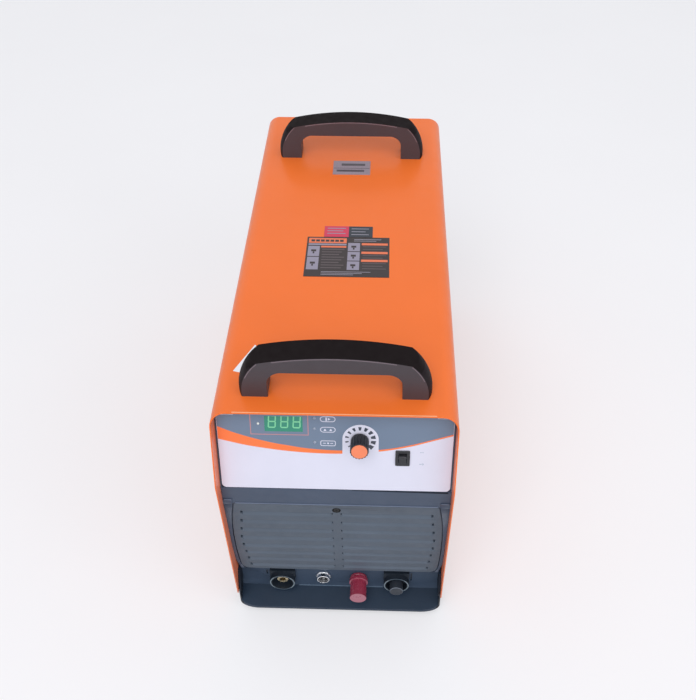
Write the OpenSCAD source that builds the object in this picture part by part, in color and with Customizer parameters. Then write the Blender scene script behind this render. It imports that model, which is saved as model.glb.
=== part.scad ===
// Plasma cutter power unit: sheet-steel case, moulded front, air-cooled inverter inside.
// Units are millimetres. +Z is up, +X is to the right of someone facing the front, and
// +Y runs from the front to the back. The origin is on the floor below the middle of the unit.
// Lengths along the unit are measured from the cover's top front edge, which lies at front_y.

/* [Case] */
// Width over the cover's sides
case_w = 290; // [280:2:320]
// Length of the cover's top
case_l = 680; // [670:5:720]
// Height of the cover's top above the floor
cover_top = 412.5; // [410:0.5:440]
// Thickness of the cover's sheet
sheet_t = 1.5; // [1:0.1:2]
// Outer radius of the cover's two top bends
bend_r = 20; // [14:1:24]
// How far the cover's sides lean forward of its top edge
beak_reach = 24.5; // [18:0.5:30]
// Distance from the case's front datum back to the cover's top front edge
top_setback = 3.5; // [0:0.5:4]
// Drop from the cover's top to the foremost point of its sides
beak_drop = 105.5; // [100:0.5:110]
// Forward reach of the cover's sides at the floor of the case
skirt_reach = 8; // [5:1:12]
// Height of the rubber feet
foot_h = 11; // [9:0.5:14]
// Diameter of each rubber foot
foot_d = 34; // [28:1:40]
// Thickness of the base pan's sheet
pan_t = 2; // [1.5:0.5:2.5]
// Height of the base pan's side flanges
pan_flange_h = 27; // [22:1:34]
// Thickness of the rear panel's sheet
rear_t = 1.5; // [1:0.25:2]
// Depth of the rear panel behind the cover's rear edge
rear_inset = 10.5; // [9:0.5:14]

/* [Handles] */
// Half the width of a handle at its feet
handle_half_w = 109; // [105:1:114]
// Half the width of a handle's opening
grip_half_w = 78.6; // [72:0.5:82]
// Height of a handle's opening
grip_h = 39.6; // [34:0.5:44]
// Height of a handle's crown
handle_h = 64; // [60:0.5:70]
// Depth of a handle from front to back
handle_d = 32; // [28:1:36]
// Distance from the cover's front edge to the front handle
handle_front = 29.7; // [26:0.5:34]
// Distance from the cover's front edge to the rear handle
handle_rear = 551.3; // [530:1:570]

/* [Front] */
// Depth of the control panel behind the cover's top front edge
panel_inset = 24; // [20:0.5:28]
// Backward lean of the control panel
panel_tilt = 13.1; // [10:0.1:15]
// Length of the control panel down its slope
panel_len = 130.5; // [128:0.5:134]
// Thickness of the control panel
panel_t = 2; // [1.5:0.5:3]
// Thickness of the printed film on the control panel
film_t = 0.5; // [0.3:0.1:0.8]
// Height of the louvre panel's top edge above the floor
louvre_top = 253; // [250:0.5:256]
// Height of the louvre panel's bottom edge above the floor
louvre_bottom = 80; // [78:0.5:84]
// Thickness of the louvre panel and the bezel's face
face_t = 4; // [3.5:0.5:5]
// Number of louvre rows
louvre_rows = 8; // [6:1:8]
// Distance between louvre rows
louvre_pitch = 20; // [17:0.5:20]
// Width of the plain strip between the two louvre columns
louvre_strip = 13; // [10:1:18]
// Depth of the step at each louvre
louvre_step = 2.6; // [2:0.1:3]
// Height of the gap under each louvre
louvre_gap = 2.5; // [2:0.25:4]
// Depth of the connector bay's wall behind the cover's top front edge
bay_wall = 18; // [16:0.5:20]
// Height of the crease where the bay's wall meets the sloping tray
crease_z = 25; // [22:0.5:28]
// Forward reach of the chin's lip
lip_reach = 13; // [11:0.5:15]
// Width of the chin's rounded corners seen from above
lip_r = 30; // [20:1:36]
// Height at which the cover's side edge passes behind the chin's cheek
cheek_top = 45; // [42:1:60]

/* [Controls] */
// Distance of the current knob to the right of centre
knob_x = 29.5; // [24:0.5:32]
// Distance of the current knob down the control panel
knob_s = 53.5; // [50:0.5:56]
// Diameter of the current knob
knob_d = 22; // [20:0.5:26]
// Length of the current knob
knob_len = 24; // [20:0.5:28]
// Diameter of the potentiometer's shaft
shaft_d = 6; // [5:0.5:6.5]
// Distance of the rocker switch to the right of centre
switch_x = 81.1; // [78:0.5:86]
// Distance of the rocker switch down the control panel
switch_s = 79.2; // [76:0.5:84]
// Width of the rocker switch's flange
switch_w = 17.6; // [16:0.2:20]
// Height of the rocker switch's flange
switch_h = 22.3; // [21:0.2:24]
// Distance of the display's middle to the left of centre
display_x = 61; // [56:0.5:64]
// Distance of the display's middle down the control panel
display_s = 32.7; // [31:0.5:34]
// Width of the display's window
display_w = 45.5; // [40:0.5:46]
// Height of the display's window
display_h = 22; // [20:0.5:24]
// Diameter of each indicator lamp
lamp_d = 3; // [2:0.5:4]

/* [Connectors] */
// Height of the connectors' axes above the floor
socket_z = 50; // [48:0.5:52]
// Outer diameter of the torch and work sockets
socket_d = 36; // [32:0.5:38]
// Reach of the torch and work sockets in front of the bay's wall
socket_reach = 13; // [10:0.5:16]
// Distance of the torch socket to the left of centre
torch_x = 82; // [78:0.5:90]
// Distance of the work socket to the right of centre
work_x = 81; // [78:0.5:90]
// Diameter of the torch contact's bore
torch_bore_d = 9; // [8:0.5:11]
// Diameter of the work contact's bore
work_bore_d = 13; // [12:0.5:14]
// Diameter of the plug in the work socket
plug_d = 19; // [17:0.5:21]
// Reach of the plug in front of the work socket's rim
plug_reach = 9.6; // [8:0.2:12]
// Distance of the control socket to the left of centre
control_x = 23.5; // [20:0.5:28]
// Thread diameter of the control socket
control_d = 18; // [15:0.5:18]
// Distance of the pilot terminal to the right of centre
pilot_x = 27; // [24:0.5:32]
// Diameter of the pilot terminal's knob
pilot_d = 23; // [20:0.5:24]
// Length of the pilot terminal's knob
pilot_len = 29; // [24:1:30]
// Thread diameter of the pilot terminal's stud
pilot_stud_d = 8; // [6:0.5:10]

/* [Rear] */
// Width and height of the fan's square frame
fan_w = 190; // [180:2:200]
// Depth of the fan's frame
fan_d = 50; // [44:1:56]
// Diameter of the hole that the fan's blades turn in
fan_bore = 178; // [170:1:178]
// Height of the fan's axis above the floor
fan_z = 280; // [270:1:290]
// Number of fan blades
fan_blades = 7; // [5:1:9]
// Width of the circuit breaker
breaker_w = 54; // [50:1:60]
// Height of the circuit breaker
breaker_h = 80; // [76:1:90]
// Depth of the circuit breaker
breaker_d = 62; // [56:1:70]
// Distance of the circuit breaker's middle from the case's left side
breaker_side = 61; // [57:1:67]
// Height of the circuit breaker's middle above the floor
breaker_z = 120; // [112:1:126]
// Bore of the power cable's gland
gland_bore = 16; // [14:1:18]
// Distance of the cable gland from the case's right side
gland_side = 53; // [47:1:59]
// Height of the cable gland's axis above the floor
gland_z = 62; // [56:1:70]
// Diameter of the air inlet's hose spigot
spigot_d = 9; // [8:0.5:10]
// Distance of the air inlet to the right of centre
inlet_x = 22; // [16:1:28]
// Height of the air inlet's axis above the floor
inlet_z = 62; // [56:1:70]
// Diameter of the earth stud
earth_d = 8; // [6:1:8]

/* [Inside] */
// Height of the chassis shelf above the base pan
shelf_h = 138; // [134:1:144]
// Thickness of the chassis shelf's sheet
shelf_t = 1.5; // [1:0.25:2]
// Height of the heat sinks
sink_h = 112; // [104:1:118]
// Length of the heat sinks
sink_l = 330; // [300:5:340]
// Thickness of each circuit board
board_t = 1.6; // [1.2:0.2:2]
// Diameter of each smoothing capacitor
cap_d = 35; // [30:1:40]
// Height of each smoothing capacitor
cap_h = 50; // [40:1:60]
// Height of the power modules
module_h = 17; // [15:1:20]
// Width across the transformer's core
core_w = 130; // [120:2:140]
// Height of the transformer's core
core_h = 96; // [90:1:104]
// Diameter of the air hose inside the case
hose_d = 9; // [8:0.5:10]

/* [Fits] */
// Gap between pieces that lie in or beside each other
gap = 0.3; // [0.2:0.05:0.4]
// Radial clearance of a part that turns on a pin or shaft
run_gap = 0.05; // [0.03:0.01:0.08]
// Radial clearance of a screw in its hole
screw_gap = 0.2; // [0.1:0.05:0.3]
// Clearance around a moving button or blade
move_gap = 0.8; // [0.6:0.1:1]

/* [Hidden] */
$fn = 64;
big = 2000;
eps = 0.01;

inner_w = case_w - 2 * sheet_t;
inner_top = cover_top - sheet_t;
lined_half = inner_w / 2 - gap;
pan_z = foot_h + pan_t;
beak_z = cover_top - beak_drop;
rear_y = case_l - rear_inset - rear_t;
rear_out = case_l - rear_inset;
inlet_reach = 36;
rear_most = rear_out + inlet_reach;
front_y = -(rear_most - beak_reach) / 2;

panel_half = lined_half - 2.2;
louvre_top_half = panel_half - 11.2;
panel_bottom_z = cover_top - panel_len * cos(panel_tilt);
panel_bottom_y = panel_inset - panel_len * sin(panel_tilt);
bezel_wall = 1.6;
film_r = 6;
bottom_gap = 0.6;

// Profile of the moulded face: [depth behind the cover's top edge, height]
face_mid_z = 145;
face_low_z = 84;
face_top_y = -7;
face_mid_y = 0;
face_low_y = 9;
face_slope_top = (face_top_y - face_mid_y) / (louvre_top - face_mid_z);
face_slope_low = (face_mid_y - face_low_y) / (face_mid_z - face_low_z);
function face_y(z) = z > face_mid_z
  ? face_mid_y + (z - face_mid_z) * face_slope_top
  : face_low_y + (z - face_low_z) * face_slope_low;
louvre_first = louvre_top - 17;
louvre_seam = 1.4;
wing_rise = 9;
louvre_seat = 6;
screw_drop = 10.4;
louvre_screw_d = 4;
recess_d = 11;
recess_floor = face_top_y + 3.4;

bay_t = 2.5;
bay_roof = louvre_bottom;
board_y = bay_wall + bay_t;
board_plate_t = 2;
board_back = board_y + board_plate_t;
pan_front = board_y;
socket_face = bay_wall - socket_reach;
control_z = socket_z + 4;
torch_contact_d = torch_bore_d + 6.4;
work_contact_d = work_bore_d + 7;
socket_wall = 3;
plate_half = 128;
plate_top = 104;

handle_bulge = 4.6;
leg_r = 66;
leg_centre_h = 6;
handle_plate_t = 2.5;
handle_plate_half = inner_w / 2 - bend_r - sheet_t;
handle_hole_x = (handle_half_w + grip_half_w) / 2;
handle_screw_d = 6;
handle_screw_l = 16;
pan_screw_d = 5;
cover_screw_z = foot_h + 19;
cover_screw_ys = [110, 340, case_l - 90];
foot_x = case_w / 2 - 38;
foot_ys = [75, case_l - 75];

shelf_z = pan_z + shelf_h;
shelf_y0 = 80;
shelf_y1 = 585;
shelf_half = lined_half - 6;
power_board_half = shelf_half - 19.2;
control_board_half = shelf_half - 33.2;
control_board_y = 112;
control_board_h = 116;
sink_y0 = 175;
sink_z0 = shelf_z + shelf_t;
sink_top = sink_z0 + sink_h;
sink_inner = 14;
sink_base = 10;
sink_fin = 70;
power_z = sink_top + module_h;

// Points of an arc in a plane: centre, radius, first and last angle, number of steps
function arc(c, r, a0, a1, n) =
  [for (i = [0:n]) c + r * [cos(a0 + (a1 - a0) * i / n), sin(a0 + (a1 - a0) * i / n)]];

// Moves children from the cover's own frame to the unit's frame
module from_front() {
  translate([0, front_y, 0]) children();
}

// Puts children on the control panel: x to the right, y up the slope, z out of its face
module on_panel() {
  translate([0, front_y + panel_inset, cover_top]) rotate([90 - panel_tilt, 0, 0]) children();
}

// Extrudes a drawing of [depth, height] from x0 to x1
module along_x(x0, x1) {
  translate([x0, 0, 0]) rotate([90, 0, 90]) linear_extrude(x1 - x0) children();
}

// Extrudes a drawing of [x, height] from y0 to y1
module along_y(y0, y1) {
  translate([0, y1, 0]) rotate([90, 0, 0]) linear_extrude(y1 - y0) children();
}

module block(x0, x1, y0, y1, z0, z1) {
  translate([x0, y0, z0]) cube([x1 - x0, y1 - y0, z1 - z0]);
}

// A rod along Y
module rod(x, z, d, y0, y1) {
  translate([x, y0, z]) rotate([-90, 0, 0]) cylinder(d = d, h = y1 - y0);
}

// A six-sided rod along Y, by its width across flats
module hex_rod(x, z, flats, y0, y1) {
  translate([x, y0, z]) rotate([-90, 0, 0]) cylinder(d = flats / cos(30), h = y1 - y0, $fn = 6);
}

module both_sides() {
  children();
  mirror([1, 0, 0]) children();
}

// Inverted U of the cover with rounded top corners, drawn as [x, height]
module arch(half, top, r) {
  translate([-half, foot_h - big]) square([2 * half, top - r - foot_h + big]);
  translate([-half + r, top - r - eps]) square([2 * (half - r), r + eps]);
  for (s = [-1, 1]) translate([s * (half - r), top - r]) circle(r);
}

module rounded_rect(w, h, r) {
  translate([-w / 2 + r, -h / 2]) square([w - 2 * r, h]);
  translate([-w / 2, -h / 2 + r]) square([w, h - 2 * r]);
  for (x = [-1, 1], y = [-1, 1]) translate([x * (w / 2 - r), y * (h / 2 - r)]) circle(r);
}

// ---- Case -------------------------------------------------------------------------

module cover() {
  skirt_y = -beak_reach + (beak_reach - skirt_reach) * (beak_z - cheek_top) / (beak_z - foot_h);
  color([0.91, 0.44, 0.20]) from_front() difference() {
    intersection() {
      along_y(-beak_reach - 1, case_l + 1) arch(case_w / 2, cover_top, bend_r);
      along_x(-case_w / 2, case_w / 2) polygon([
        [top_setback, cover_top + 1], [top_setback, cover_top], [-beak_reach, beak_z],
        [skirt_y, cheek_top + gap], [board_y, cheek_top + gap], [board_y, foot_h],
        [case_l, foot_h], [case_l, cover_top + 1]
      ]);
    }
    along_y(-big, big) arch(inner_w / 2, inner_top, bend_r - sheet_t);
    for (y = cover_screw_ys) translate([-big / 2, y, cover_screw_z]) rotate([0, 90, 0])
      cylinder(d = pan_screw_d + 2 * screw_gap, h = big);
    for (y = [handle_front, handle_rear]) handle_holes(y, inner_top - 1, cover_top + 1);
  }
}

module handle_holes(y, z0, z1) {
  for (s = [-1, 1]) translate([s * handle_hole_x, y + handle_d / 2, z0])
    cylinder(d = handle_screw_d + 2 * screw_gap, h = z1 - z0);
}

module base_pan() {
  color([0.20, 0.22, 0.26]) from_front() difference() {
    union() {
      block(-lined_half, lined_half, pan_front, rear_out, foot_h, pan_z);
      both_sides() block(lined_half - pan_t, lined_half, pan_front, rear_y, foot_h,
        pan_z + pan_flange_h);
    }
    for (x = [-foot_x, foot_x], y = foot_ys) translate([x, y, 0])
      cylinder(d = pan_screw_d + 2 * screw_gap, h = pan_z + 1);
    for (y = cover_screw_ys) translate([-big / 2, y, cover_screw_z]) rotate([0, 90, 0])
      cylinder(d = pan_screw_d + 2 * screw_gap, h = big);
  }
}

module rubber_feet() {
  head_d = 2 * pan_screw_d + 1;
  color([0.06, 0.06, 0.06]) from_front() for (x = [-foot_x, foot_x], y = foot_ys)
    translate([x, y, 0]) difference() {
      union() {
        cylinder(d = foot_d - 4, h = foot_h);
        translate([0, 0, 3]) cylinder(d = foot_d, h = foot_h - 3);
      }
      translate([0, 0, -1]) cylinder(d = head_d + 2, h = 1 + foot_h / 2);
      cylinder(d = pan_screw_d + 2 * screw_gap, h = foot_h + 1);
    }
}

module foot_screws() {
  head_d = 2 * pan_screw_d;
  color([0.75, 0.75, 0.78]) from_front() for (x = [-foot_x, foot_x], y = foot_ys)
    translate([x, y, 0]) {
      translate([0, 0, foot_h / 2 - 3]) cylinder(d = head_d, h = 3);
      translate([0, 0, foot_h / 2 - 1]) cylinder(d = pan_screw_d, h = foot_h / 2 + pan_t + 8);
      translate([0, 0, pan_z]) cylinder(d = 8 / cos(30), h = 4, $fn = 6);
    }
}

module cover_screws() {
  head_t = 2.4;
  reach = 6;
  color([0.75, 0.75, 0.78]) from_front() for (s = [0, 1], y = cover_screw_ys)
    mirror([s, 0, 0]) translate([case_w / 2, y, cover_screw_z]) rotate([0, 90, 0]) difference() {
      union() {
        cylinder(d = 2 * pan_screw_d, h = head_t);
        translate([0, 0, -reach]) cylinder(d = pan_screw_d, h = reach + eps);
      }
      for (a = [0, 90]) rotate(a) translate([-3, -0.6, head_t - 1.2]) cube([6, 1.2, 2]);
    }
}

// ---- Handles ----------------------------------------------------------------------

// A crowned arch before its legs' sides are cut, drawn as [x, height] above the cover
module handle_outline() {
  crown_r = 390;
  inner_r = 18;
  foot_r = 5;
  side = handle_half_w + handle_bulge + 1.6;
  crown_a = acos(side / crown_r);
  difference() {
    polygon(concat(arc([side - foot_r, foot_r], foot_r, -90, 0, 6),
      arc([0, handle_h - crown_r], crown_r, crown_a, 180 - crown_a, 30),
      arc([foot_r - side, foot_r], foot_r, 180, 270, 6)));
    translate([-grip_half_w, -1]) square([2 * grip_half_w, grip_h - inner_r + 1]);
    translate([-grip_half_w + inner_r, -1]) square([2 * (grip_half_w - inner_r), grip_h + 1]);
    for (s = [-1, 1]) translate([s * (grip_half_w - inner_r), grip_h - inner_r]) circle(inner_r);
  }
}

// Waste outside a leg's barrelled outer side; s is 1 at the right and -1 at the left
module leg_waste(y, s) {
  r = (pow(handle_d / 2, 2) + pow(handle_bulge, 2)) / (2 * handle_bulge);
  near = 32;
  translate([s * (handle_half_w - leg_r), y + handle_d / 2, cover_top + leg_centre_h]) difference() {
    translate([s > 0 ? near : -near - 50, -handle_d / 2 - 1, -leg_centre_h - 1])
      cube([50, handle_d + 2, 75]);
    rotate([90, 0, 0]) rotate_extrude() translate([leg_r + handle_bulge - r, 0]) circle(r);
  }
}

module carry_handles() {
  color([0.16, 0.11, 0.11]) from_front() for (y = [handle_front, handle_rear]) difference() {
    translate([0, 0, cover_top]) along_y(y, y + handle_d) handle_outline();
    for (s = [-1, 1]) translate([s * handle_hole_x, y + handle_d / 2, cover_top - 1])
      cylinder(d = handle_screw_d, h = handle_screw_l);
    for (s = [-1, 1]) leg_waste(y, s);
  }
}

module handle_plates() {
  color([0.7, 0.7, 0.72]) from_front() for (y = [handle_front, handle_rear]) difference() {
    block(-handle_plate_half, handle_plate_half, y - 2, y + handle_d + 2,
      inner_top - handle_plate_t, inner_top);
    handle_holes(y, inner_top - handle_plate_t - 1, inner_top + 1);
  }
}

module handle_screws() {
  head_t = 4;
  seat = inner_top - handle_plate_t;
  color([0.75, 0.75, 0.78]) from_front() for (s = [-1, 1], y = [handle_front, handle_rear])
    translate([s * handle_hole_x, y + handle_d / 2, seat]) {
      translate([0, 0, -head_t]) cylinder(d = 10 / cos(30), h = head_t, $fn = 6);
      translate([0, 0, -eps]) cylinder(d = handle_screw_d,
        h = cover_top - seat + handle_screw_l - 2);
    }
}

// ---- Moulded front ----------------------------------------------------------------

// Bowed outline of the louvre panel, drawn as [x, height] and grown by a margin
module louvre_outline(grow) {
  mid_half = panel_half - 3.4 + grow;
  corner_r = 9;
  half = [
    [louvre_top_half + grow, louvre_top + grow], [louvre_top_half + 4.4 + grow, louvre_top - 27],
    [louvre_top_half + 6.4 + grow, louvre_top - 48], [mid_half - 0.2, louvre_top - 75],
    [mid_half, louvre_top - 110], [mid_half - 0.3, louvre_bottom + 35],
    [mid_half - 0.9, louvre_bottom + 14], [mid_half - 3.6, louvre_bottom + 5 - grow],
    [mid_half - corner_r, louvre_bottom + 1 - grow], [mid_half - 3 * corner_r, louvre_bottom - grow]
  ];
  polygon(concat(half, [[0, louvre_bottom - grow]],
    [for (i = [len(half) - 1:-1:0]) [-half[i][0], half[i][1]]]));
}

// The face's side view as [depth, height], a plate of thickness t set back by b
module face_strip(t, b, z0, z1) {
  polygon([
    [face_y(z0) + b, z0], [face_mid_y + b, face_mid_z], [face_y(z1) + b, z1],
    [face_y(z1) + b + t, z1], [face_mid_y + b + t, face_mid_z], [face_y(z0) + b + t, z0]
  ]);
}

module front_bezel() {
  color([0.30, 0.33, 0.39]) from_front() difference() {
    union() {
      bezel_face();
      bezel_header();
      bezel_boss();
      bezel_sides();
    }
    rod(0, louvre_top - screw_drop, louvre_screw_d + 2 * screw_gap, -30, 40);
  }
}

module connector_bay() {
  color([0.18, 0.22, 0.28]) from_front() difference() {
    union() {
      bay_shell();
      bay_chin();
    }
    bay_holes();
  }
}

// Wings beside the louvre panel, and the ledge that it sits on
module bezel_face() {
  wing_cut = 4.5;
  cut_h = 28;
  wing_low = louvre_top - 1;
  wing_top = louvre_top + wing_rise;
  intersection() {
    union() {
      difference() {
        along_x(-lined_half, lined_half) face_strip(face_t, 0, louvre_bottom, louvre_top + 1);
        along_y(-30, 40) louvre_outline(louvre_seam);
      }
      both_sides() along_x(louvre_top_half + louvre_seam, lined_half) polygon([
        [face_y(wing_low), wing_low], [face_y(wing_top), wing_top],
        [face_y(wing_top) + face_t, wing_top], [face_y(wing_low) + face_t, wing_low]
      ]);
    }
    along_y(-30, 40) polygon([
      [wing_cut - lined_half, 0], [wing_cut - lined_half, louvre_bottom],
      [-lined_half, louvre_bottom + cut_h], [-lined_half, cover_top], [lined_half, cover_top],
      [lined_half, louvre_bottom + cut_h], [lined_half - wing_cut, louvre_bottom],
      [lined_half - wing_cut, 0]
    ]);
  }
  difference() {
    along_x(wing_cut - lined_half, lined_half - wing_cut)
      face_strip(2, face_t, louvre_bottom, louvre_top + louvre_seat);
    along_y(-30, 40) louvre_outline(-louvre_seat);
  }
}

// Plain band between the louvre panel and the control panel
module bezel_header() {
  along_x(-lined_half, lined_half) polygon([
    [face_top_y + 0.5, louvre_top + 0.5], [panel_bottom_y - 0.5, panel_bottom_z - bottom_gap],
    [panel_bottom_y + 10, panel_bottom_z - bottom_gap],
    [panel_bottom_y + 10, panel_bottom_z - 4], [face_top_y + face_t + 2, panel_bottom_z - 6],
    [face_top_y + face_t + 2, louvre_top + 0.5]
  ]);
}

// Boss behind the louvre panel that takes its screw
module bezel_boss() {
  half = 7;
  back = face_top_y + face_t + 12;
  block(-half, half, face_top_y + face_t + 1.2, back, louvre_top - screw_drop - half,
    louvre_top + 1);
}

// Thin walls beside the control panel, with the ledges behind it
module bezel_sides() {
  ledge = 7;
  both_sides() along_x(lined_half - bezel_wall, lined_half) polygon([
    [panel_bottom_y - 1, panel_bottom_z - 5], [panel_inset - 3, inner_top - bend_r],
    [panel_inset + 8, inner_top - bend_r], [panel_bottom_y + 14, panel_bottom_z - 5]
  ]);
  both_sides() along_x(panel_half - ledge, lined_half - bezel_wall + eps) polygon([
    [panel_bottom_y + panel_t / cos(panel_tilt), panel_bottom_z - 1],
    [panel_inset - (bend_r + sheet_t) * tan(panel_tilt) + panel_t / cos(panel_tilt),
      inner_top - bend_r],
    [panel_inset - (bend_r + sheet_t) * tan(panel_tilt) + panel_t / cos(panel_tilt) + 3,
      inner_top - bend_r],
    [panel_bottom_y + panel_t / cos(panel_tilt) + 3, panel_bottom_z - 1]
  ]);
}

// Wall that carries the connectors, and the roof above it
module bay_shell() {
  block(-lined_half, lined_half, bay_wall, board_y, crease_z - 4, bay_roof);
  block(-lined_half, lined_half, face_low_y + face_t + 1, board_y, bay_roof - 3, bay_roof);
}

// Sloping tray, lip and cheeks below the connectors
module bay_chin() {
  wall = 3;
  lip_top = foot_h + 5;
  slope = (crease_z - lip_top) / (bay_wall + eps + lip_reach);
  intersection() {
    union() {
      along_x(-case_w / 2, case_w / 2) polygon([
        [-lip_reach, foot_h], [-lip_reach, lip_top], [bay_wall + eps, crease_z],
        [bay_wall + eps, crease_z - wall], [wall - lip_reach, lip_top - wall],
        [wall - lip_reach, foot_h]
      ]);
      difference() {
        along_x(-case_w / 2, case_w / 2) polygon([
          [-lip_reach, foot_h], [-lip_reach, lip_top], [0, lip_top + slope * lip_reach], [0, foot_h]
        ]);
        translate([0, 0, foot_h - 2]) linear_extrude(bay_roof) chin_plan(wall);
      }
      both_sides() along_x(case_w / 2 - wall, case_w / 2) polygon([
        [-lip_reach, foot_h], [-lip_reach + 2, cheek_top], [board_y - gap, cheek_top],
        [board_y - gap, foot_h]
      ]);
      both_sides() along_x(lined_half - wall, lined_half) polygon([
        [-lip_reach + 2, cheek_top - 1], [-lip_reach + 8, cheek_top + 10],
        [face_low_y - 3, bay_roof], [board_y, bay_roof], [board_y, cheek_top - 1]
      ]);
    }
    translate([0, 0, foot_h - 1]) linear_extrude(bay_roof) chin_plan(0);
  }
}

// Plan of the chin, inset by t; its front corners are quarters of an ellipse
module chin_plan(t) {
  step = 7.5;
  side = case_w / 2 - t;
  right = [for (a = [0:step:90])
    [case_w / 2 - lip_r + (lip_r - t) * cos(a), (t - lip_reach) * sin(a)]];
  left = [for (i = [len(right) - 1:-1:0]) [-right[i][0], right[i][1]]];
  polygon(concat([[side, board_y + 1]], right, left, [[-side, board_y + 1]]));
}

// Holes for the sockets and the terminal
module bay_holes() {
  for (x = [-torch_x, work_x]) rod(x, socket_z, socket_d + 2 * gap, -5, board_y + 1);
  rod(-control_x, control_z, control_d + 2 * gap, 0, board_y + 1);
  rod(pilot_x, socket_z, pilot_stud_d + 6 + 2 * gap, 0, board_y + 1);
  slot(-torch_x - socket_d / 2 - 4.6, 11, socket_z + 8);
  slot(work_x + socket_d / 2 + 3.3, 19, socket_z + 3);
}

// Narrow upright slot of height h beside a socket
module slot(x, h, z) {
  slot_w = 2;
  block(x - slot_w / 2, x + slot_w / 2, bay_wall - 1, board_y + 1, z - h / 2, z + h / 2);
}

module louvre_panel() {
  color([0.35, 0.38, 0.42]) from_front() difference() {
    intersection() {
      along_x(-lined_half, lined_half) face_strip(face_t, 0, louvre_bottom, louvre_top);
      along_y(-30, 40) louvre_outline(0);
    }
    for (i = [0:louvre_rows - 1]) louvre_cut(louvre_first - i * louvre_pitch);
    rod(0, louvre_top - screw_drop, recess_d, -30, recess_floor);
    rod(0, louvre_top - screw_drop, louvre_screw_d + 2 * screw_gap, -30, 40);
  }
}

// One louvre: a slope that ends in a step, with the air gap under the step
module louvre_cut(z) {
  slope_h = 9;
  low = z - slope_h;
  widest_z = 172;
  taper_up = 0.095;
  taper_down = 0.072;
  half = panel_half - 14 - max((z - widest_z) * taper_up, (widest_z - z) * taper_down);
  notch_w = 2.6;
  notch_h = 6.5;
  inner_w = 1.4;
  inner_h = 4.5;
  both_sides() along_x(half, half + notch_w) air_slot(z + 1, notch_h);
  both_sides() along_x(louvre_strip / 2 - inner_w, louvre_strip / 2 + eps) air_slot(z, inner_h);
  both_sides() along_x(louvre_strip / 2, half + eps) {
    polygon([
      [face_y(low), low], [face_y(z) + louvre_step, z], [face_y(z) - 9, z], [face_y(low) - 9, low]
    ]);
    air_slot(z, louvre_gap);
  }
}

// Side view of a slot of height h through the louvre panel, with its top edge at z
module air_slot(z, h) {
  polygon([
    [face_y(z) - 9, z - h], [face_y(z) - 9, z], [face_y(z) + 20, z], [face_y(z) + 20, z - h]
  ]);
}

module panel_screws() {
  head_t = 2.4;
  z = louvre_top - screw_drop;
  color([0.25, 0.25, 0.27]) from_front() difference() {
    union() {
      rod(0, z, 2 * louvre_screw_d - 0.4, recess_floor - head_t, recess_floor);
      rod(0, z, louvre_screw_d, recess_floor - 1, recess_floor + 12);
    }
    for (a = [0, 90]) translate([0, recess_floor - head_t - 1, z]) rotate([0, a, 0])
      translate([-2.4, 0, -0.5]) cube([4.8, 2.2, 1]);
  }
}

module connector_plate() {
  color([0.55, 0.56, 0.58]) from_front() difference() {
    block(-plate_half, plate_half, board_y, board_back, pan_z, plate_top);
    for (x = [-torch_x, work_x]) rod(x, socket_z, socket_d - 8 + 2 * gap, 0, 60);
    rod(-control_x, control_z, control_d + 2 * gap, 0, 60);
    rod(pilot_x, socket_z, pilot_stud_d + 6 + 2 * gap, 0, 60);
  }
}

// ---- Control panel ----------------------------------------------------------------

// Outline of the control panel on its own slope, with round lower corners
module panel_outline(half, s0, s1, r) {
  translate([-half, -s1 + r]) square([2 * half, s1 - s0 - r]);
  translate([-half + r, -s1]) square([2 * (half - r), r + 1]);
  for (x = [-1, 1]) translate([x * (half - r), -s1 + r]) circle(r);
}

lamp_x = 24.4;
alarm_x = 91.2;
lamp_at = [[-alarm_x, -32.9], [-lamp_x, -23.6], [-lamp_x, -38.8], [-lamp_x, -58.6]];
bush_d = 7;
switch_body_w = switch_w - 4;
switch_body_h = switch_h - 3;
panel_top_s = bend_r + 0.5;
display_back = 10;
display_board_w = 112;
display_board_h = 58;
display_board_mid = [3 - display_x, -display_s - 12.3];
spacer_at = [for (x = [-1, 1], y = [-1, 1])
  display_board_mid + [x * (display_board_w / 2 - 6), y * (display_board_h / 2 - 6)]];

module panel_openings(margin) {
  translate([knob_x, -knob_s, -9]) cylinder(d = bush_d + 2 * margin, h = 20);
  translate([switch_x - switch_body_w / 2 - margin, -switch_s - switch_body_h / 2 - margin, -9])
    cube([switch_body_w + 2 * margin, switch_body_h + 2 * margin, 20]);
  translate([-display_x - display_w / 2 - margin, -display_s - display_h / 2 - margin, -9])
    cube([display_w + 2 * margin, display_h + 2 * margin, 20]);
  for (p = lamp_at) translate([p[0], p[1], -9]) cylinder(d = lamp_d + 2 * margin, h = 20);
}

module control_panel() {
  color([0.45, 0.48, 0.52]) on_panel() difference() {
    translate([0, 0, -panel_t]) linear_extrude(panel_t) union() {
      panel_outline(panel_half, panel_top_s, panel_len, film_r);
      translate([-panel_half + bend_r, -panel_top_s - 1])
        square([2 * (panel_half - bend_r), panel_top_s - 2]);
    }
    panel_openings(gap);
  }
}

module panel_film() {
  color([0.88, 0.88, 0.95]) on_panel() difference() {
    linear_extrude(film_t) union() {
      panel_outline(panel_half - 0.4, panel_top_s, panel_len - 0.4, film_r);
      translate([-panel_half + bend_r, -panel_top_s - 1])
        square([2 * (panel_half - bend_r), panel_top_s - 2]);
    }
    panel_openings(gap);
  }
}

module display_module() {
  color([0.05, 0.07, 0.06]) on_panel()
    translate([-display_x - display_w / 2, -display_s - display_h / 2, -display_back])
      cube([display_w, display_h, display_back - 1]);
}

module display_lens() {
  color([0.10, 0.45, 0.35, 0.9]) on_panel()
    translate([-display_x - display_w / 2, -display_s - display_h / 2, -1])
      cube([display_w, display_h, 1 + film_t]);
}

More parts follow.
